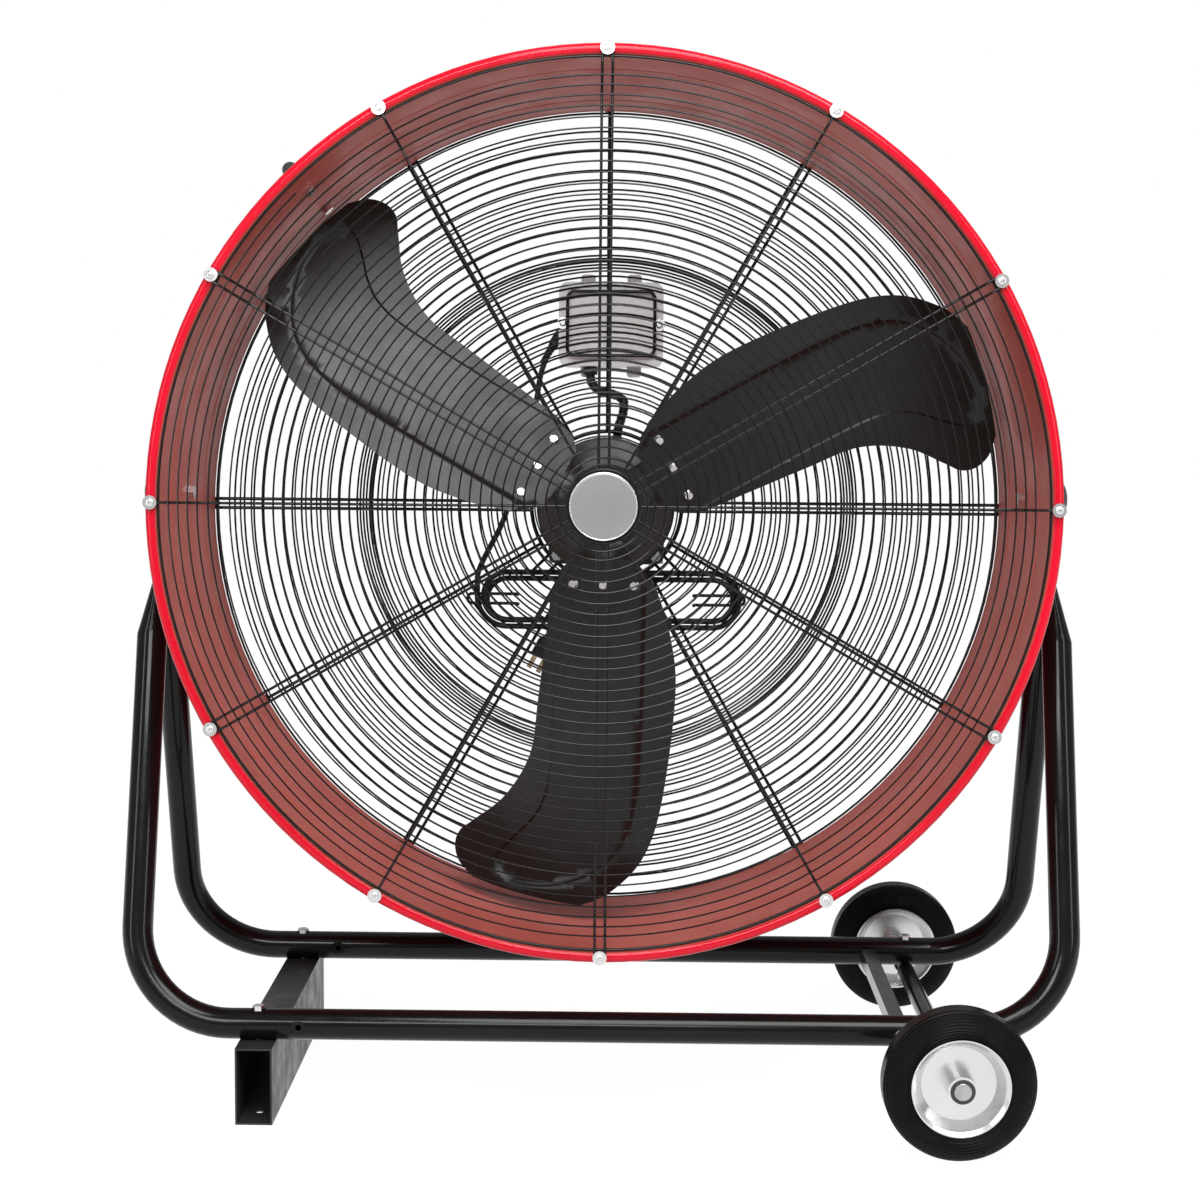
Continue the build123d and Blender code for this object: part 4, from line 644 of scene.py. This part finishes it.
def strain_relief(shape):
    """A tapered ribbed sleeve round the start of the cord."""
    start, next_point = Vector(cord_points[0]), Vector(cord_points[1])
    along = (next_point - start).normalized()
    place = Matrix.Translation(start) @ along.to_track_quat("Z", "Y").to_matrix().to_4x4()
    profile = [(CORD_D / 2, -2.0), (RELIEF_COLLAR_R, -2.0), (RELIEF_COLLAR_R, 1.5)]
    for k in range(RELIEF_RIBS):
        near = 2 + RELIEF_LENGTH * k / RELIEF_RIBS
        far = 2 + RELIEF_LENGTH * (k + 0.62) / RELIEF_RIBS
        wide = RELIEF_WIDE_R - RELIEF_TAPER * k / RELIEF_RIBS
        low = wide - RELIEF_GROOVE
        profile += [(low, near), (wide, near + 0.6), (wide, far - 0.6), (low, far)]
    profile.append((CORD_D / 2, RELIEF_LENGTH + 2))
    turned(shape, profile, place)


relief = mesh_piece("cord_strain_relief", strain_relief, "drum", "cord_black")


# ---------------------------------------------------------------- motor lead
LEAD_R = 5.9
WRAP_GROOVE = 0.9
WRAP_PITCH = 9.0
GROOVE_SHARE = 0.16           # of the pitch, from the middle of the groove to its edge
LEAD_SIDES = 20
lead_route = smooth_curve("lead_route", [
    (12, 253.6, 82), (12, 253.6, 96), (21, 254.6, 119), (20, 257.6, 138), (-22, 262.4, 146),
    (-22, 262.4, 164.5),
], 0)
lead_route.data.splines[0].resolution_u = 24
lead_line = bpy.data.meshes.new_from_object(lead_route)
lead_spots = [DRUM.inverted() @ v.co for v in lead_line.vertices]
bpy.data.objects.remove(lead_route)


def wrapped_lead(shape):
    """A lead in a spiral wrap, along the route's smooth line."""
    rings, travelled = [], 0.0
    across = Vector((0, 1, 0))
    for k, spot in enumerate(lead_spots):
        before, after = lead_spots[max(k - 1, 0)], lead_spots[min(k + 1, len(lead_spots) - 1)]
        along = (after - before).normalized()
        across = (across - along * across.dot(along)).normalized()
        beside = along.cross(across)
        travelled += (spot - lead_spots[k - 1]).length if k else 0
        ring = []
        for n in range(LEAD_SIDES):
            turn = 2 * pi * n / LEAD_SIDES
            phase = (travelled / WRAP_PITCH - turn / (2 * pi)) % 1
            groove = max(0, 1 - abs(phase - 0.5) / GROOVE_SHARE)
            radius = LEAD_R - WRAP_GROOVE * groove
            ring.append(shape.verts.new(spot + (across * cos(turn) + beside * sin(turn)) * radius))
        rings.append(ring)
    for lower, upper in zip(rings, rings[1:]):
        for n in range(LEAD_SIDES):
            m = (n + 1) % LEAD_SIDES
            shape.faces.new([lower[n], lower[m], upper[m], upper[n]])
    for ring in (rings[0], rings[-1]):
        shape.faces.new(ring)


lead = mesh_piece("wrapped_motor_lead", wrapped_lead, "drum", "cord_black")
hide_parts("motor_lead")


# ---------------------------------------------------------------- studio
FLOOR_REACH = 9
FLOOR_WHITE, FLOOR_FILL = 0.96, 0.10
ROOM_LIGHT = 0.42             # of the world on the object, where a camera sees paper white


def stage_plane(name, corners, white, fill):
    """A white sheet that a camera, gloss or glass sees as paper white, with the object's shadow."""
    mesh = bpy.data.meshes.new(name)
    mesh.from_pydata(corners, [], [(0, 1, 2, 3)])
    sheet = bpy.data.objects.new(name, mesh)
    bpy.context.scene.collection.objects.link(sheet)
    material = bpy.data.materials.new(name)
    material.use_nodes = True
    tree = material.node_tree
    tree.nodes.clear()
    path = add_node(tree, "ShaderNodeLightPath")
    seen = add_node(
        tree, "ShaderNodeMath",
        {0: path.outputs["Is Camera Ray"], 1: path.outputs["Is Glossy Ray"]}, operation="MAXIMUM",
    )
    seen = add_node(
        tree, "ShaderNodeMath",
        {0: seen.outputs[0], 1: path.outputs["Is Transmission Ray"]}, operation="MAXIMUM",
    )
    plain = add_node(tree, "ShaderNodeBsdfDiffuse", {"Color": grey(0.8)})
    shaded = add_node(tree, "ShaderNodeBsdfDiffuse", {"Color": grey(fill)})
    bright = add_node(tree, "ShaderNodeEmission", {"Color": grey(1), "Strength": white})
    lit = add_node(
        tree, "ShaderNodeAddShader", {0: shaded.outputs[0], 1: bright.outputs[0]}
    )
    mix = add_node(
        tree, "ShaderNodeMixShader",
        {0: seen.outputs[0], 1: plain.outputs[0], 2: lit.outputs[0]},
    )
    output = add_node(tree, "ShaderNodeOutputMaterial")
    tree.links.new(mix.outputs[0], output.inputs["Surface"])
    sheet.data.materials.append(material)
    return sheet


floor_corners = [(FLOOR_REACH * x, FLOOR_REACH * y, 0) for x, y in ((-1, -1), (1, -1), (1, 1), (-1, 1))]
stage_plane("floor", floor_corners, FLOOR_WHITE, FLOOR_FILL)

world = bpy.data.worlds.new("studio")
bpy.context.scene.world = world
world.use_nodes = True
tree = world.node_tree
tree.nodes.clear()
path = add_node(tree, "ShaderNodeLightPath")
seen = add_node(
    tree, "ShaderNodeMath",
    {0: path.outputs["Is Camera Ray"], 1: path.outputs["Is Transmission Ray"]},
    operation="MAXIMUM",
)
strength = add_node(
    tree, "ShaderNodeMapRange",
    {"Value": seen.outputs[0], "To Min": ROOM_LIGHT, "To Max": 1.0},
)
background = add_node(
    tree, "ShaderNodeBackground", {"Color": grey(1), "Strength": strength.outputs["Result"]}
)
output = add_node(tree, "ShaderNodeOutputWorld")
tree.links.new(background.outputs[0], output.inputs["Surface"])


def soft_box(name, place, aim, width, height, watts):
    lamp = bpy.data.lights.new(name, "AREA")
    lamp.shape = "RECTANGLE"
    lamp.size, lamp.size_y, lamp.energy = width, height, watts
    piece = bpy.data.objects.new(name, lamp)
    piece.location = place
    piece.rotation_euler = (Vector(aim) - Vector(place)).to_track_quat("-Z", "Y").to_euler()
    bpy.context.scene.collection.objects.link(piece)


soft_box("top_box", (0.5, -1.8, 2.9), (0, 0, 0.6), 2.0, 1.4, 84)
soft_box("front_box", (-0.4, -3.0, 2.1), (0, 0, 0.65), 1.4, 0.7, 36)
soft_box("left_strip", (-2.4, -2.0, 1.4), (0, 0, 0.6), 0.4, 2.0, 17)
soft_box("right_strip", (2.4, -1.8, 1.6), (0, 0, 0.6), 0.4, 2.0, 17)

# ---------------------------------------------------------------- camera
FOCAL_PIXELS = 2242.1         # in a frame 1200 pixels wide
FRAME_PIXELS = 1200
SENSOR_WIDTH = 36.0
CAMERA_PLACE = (0.0210, -2.5510, 0.8082)
PITCH, YAW, ROLL = radians(5.76), radians(-0.58), radians(0.48)
camera = bpy.data.cameras.new("camera")
camera.sensor_width = SENSOR_WIDTH
camera.sensor_fit = "HORIZONTAL"
camera.lens = SENSOR_WIDTH * FOCAL_PIXELS / FRAME_PIXELS
viewer = bpy.data.objects.new("camera", camera)
bpy.context.scene.collection.objects.link(viewer)
ahead = Vector((sin(YAW) * cos(PITCH), cos(YAW) * cos(PITCH), -sin(PITCH)))
level = Vector((cos(YAW), -sin(YAW), 0))
above = level.cross(ahead)
right = level * cos(ROLL) + above * sin(ROLL)
up = above * cos(ROLL) - level * sin(ROLL)
turned_to = Matrix((right, up, -ahead)).transposed().to_4x4()
viewer.matrix_world = Matrix.Translation(CAMERA_PLACE) @ turned_to
bpy.context.scene.camera = viewer

bpy.context.scene.view_settings.view_transform = "Standard"
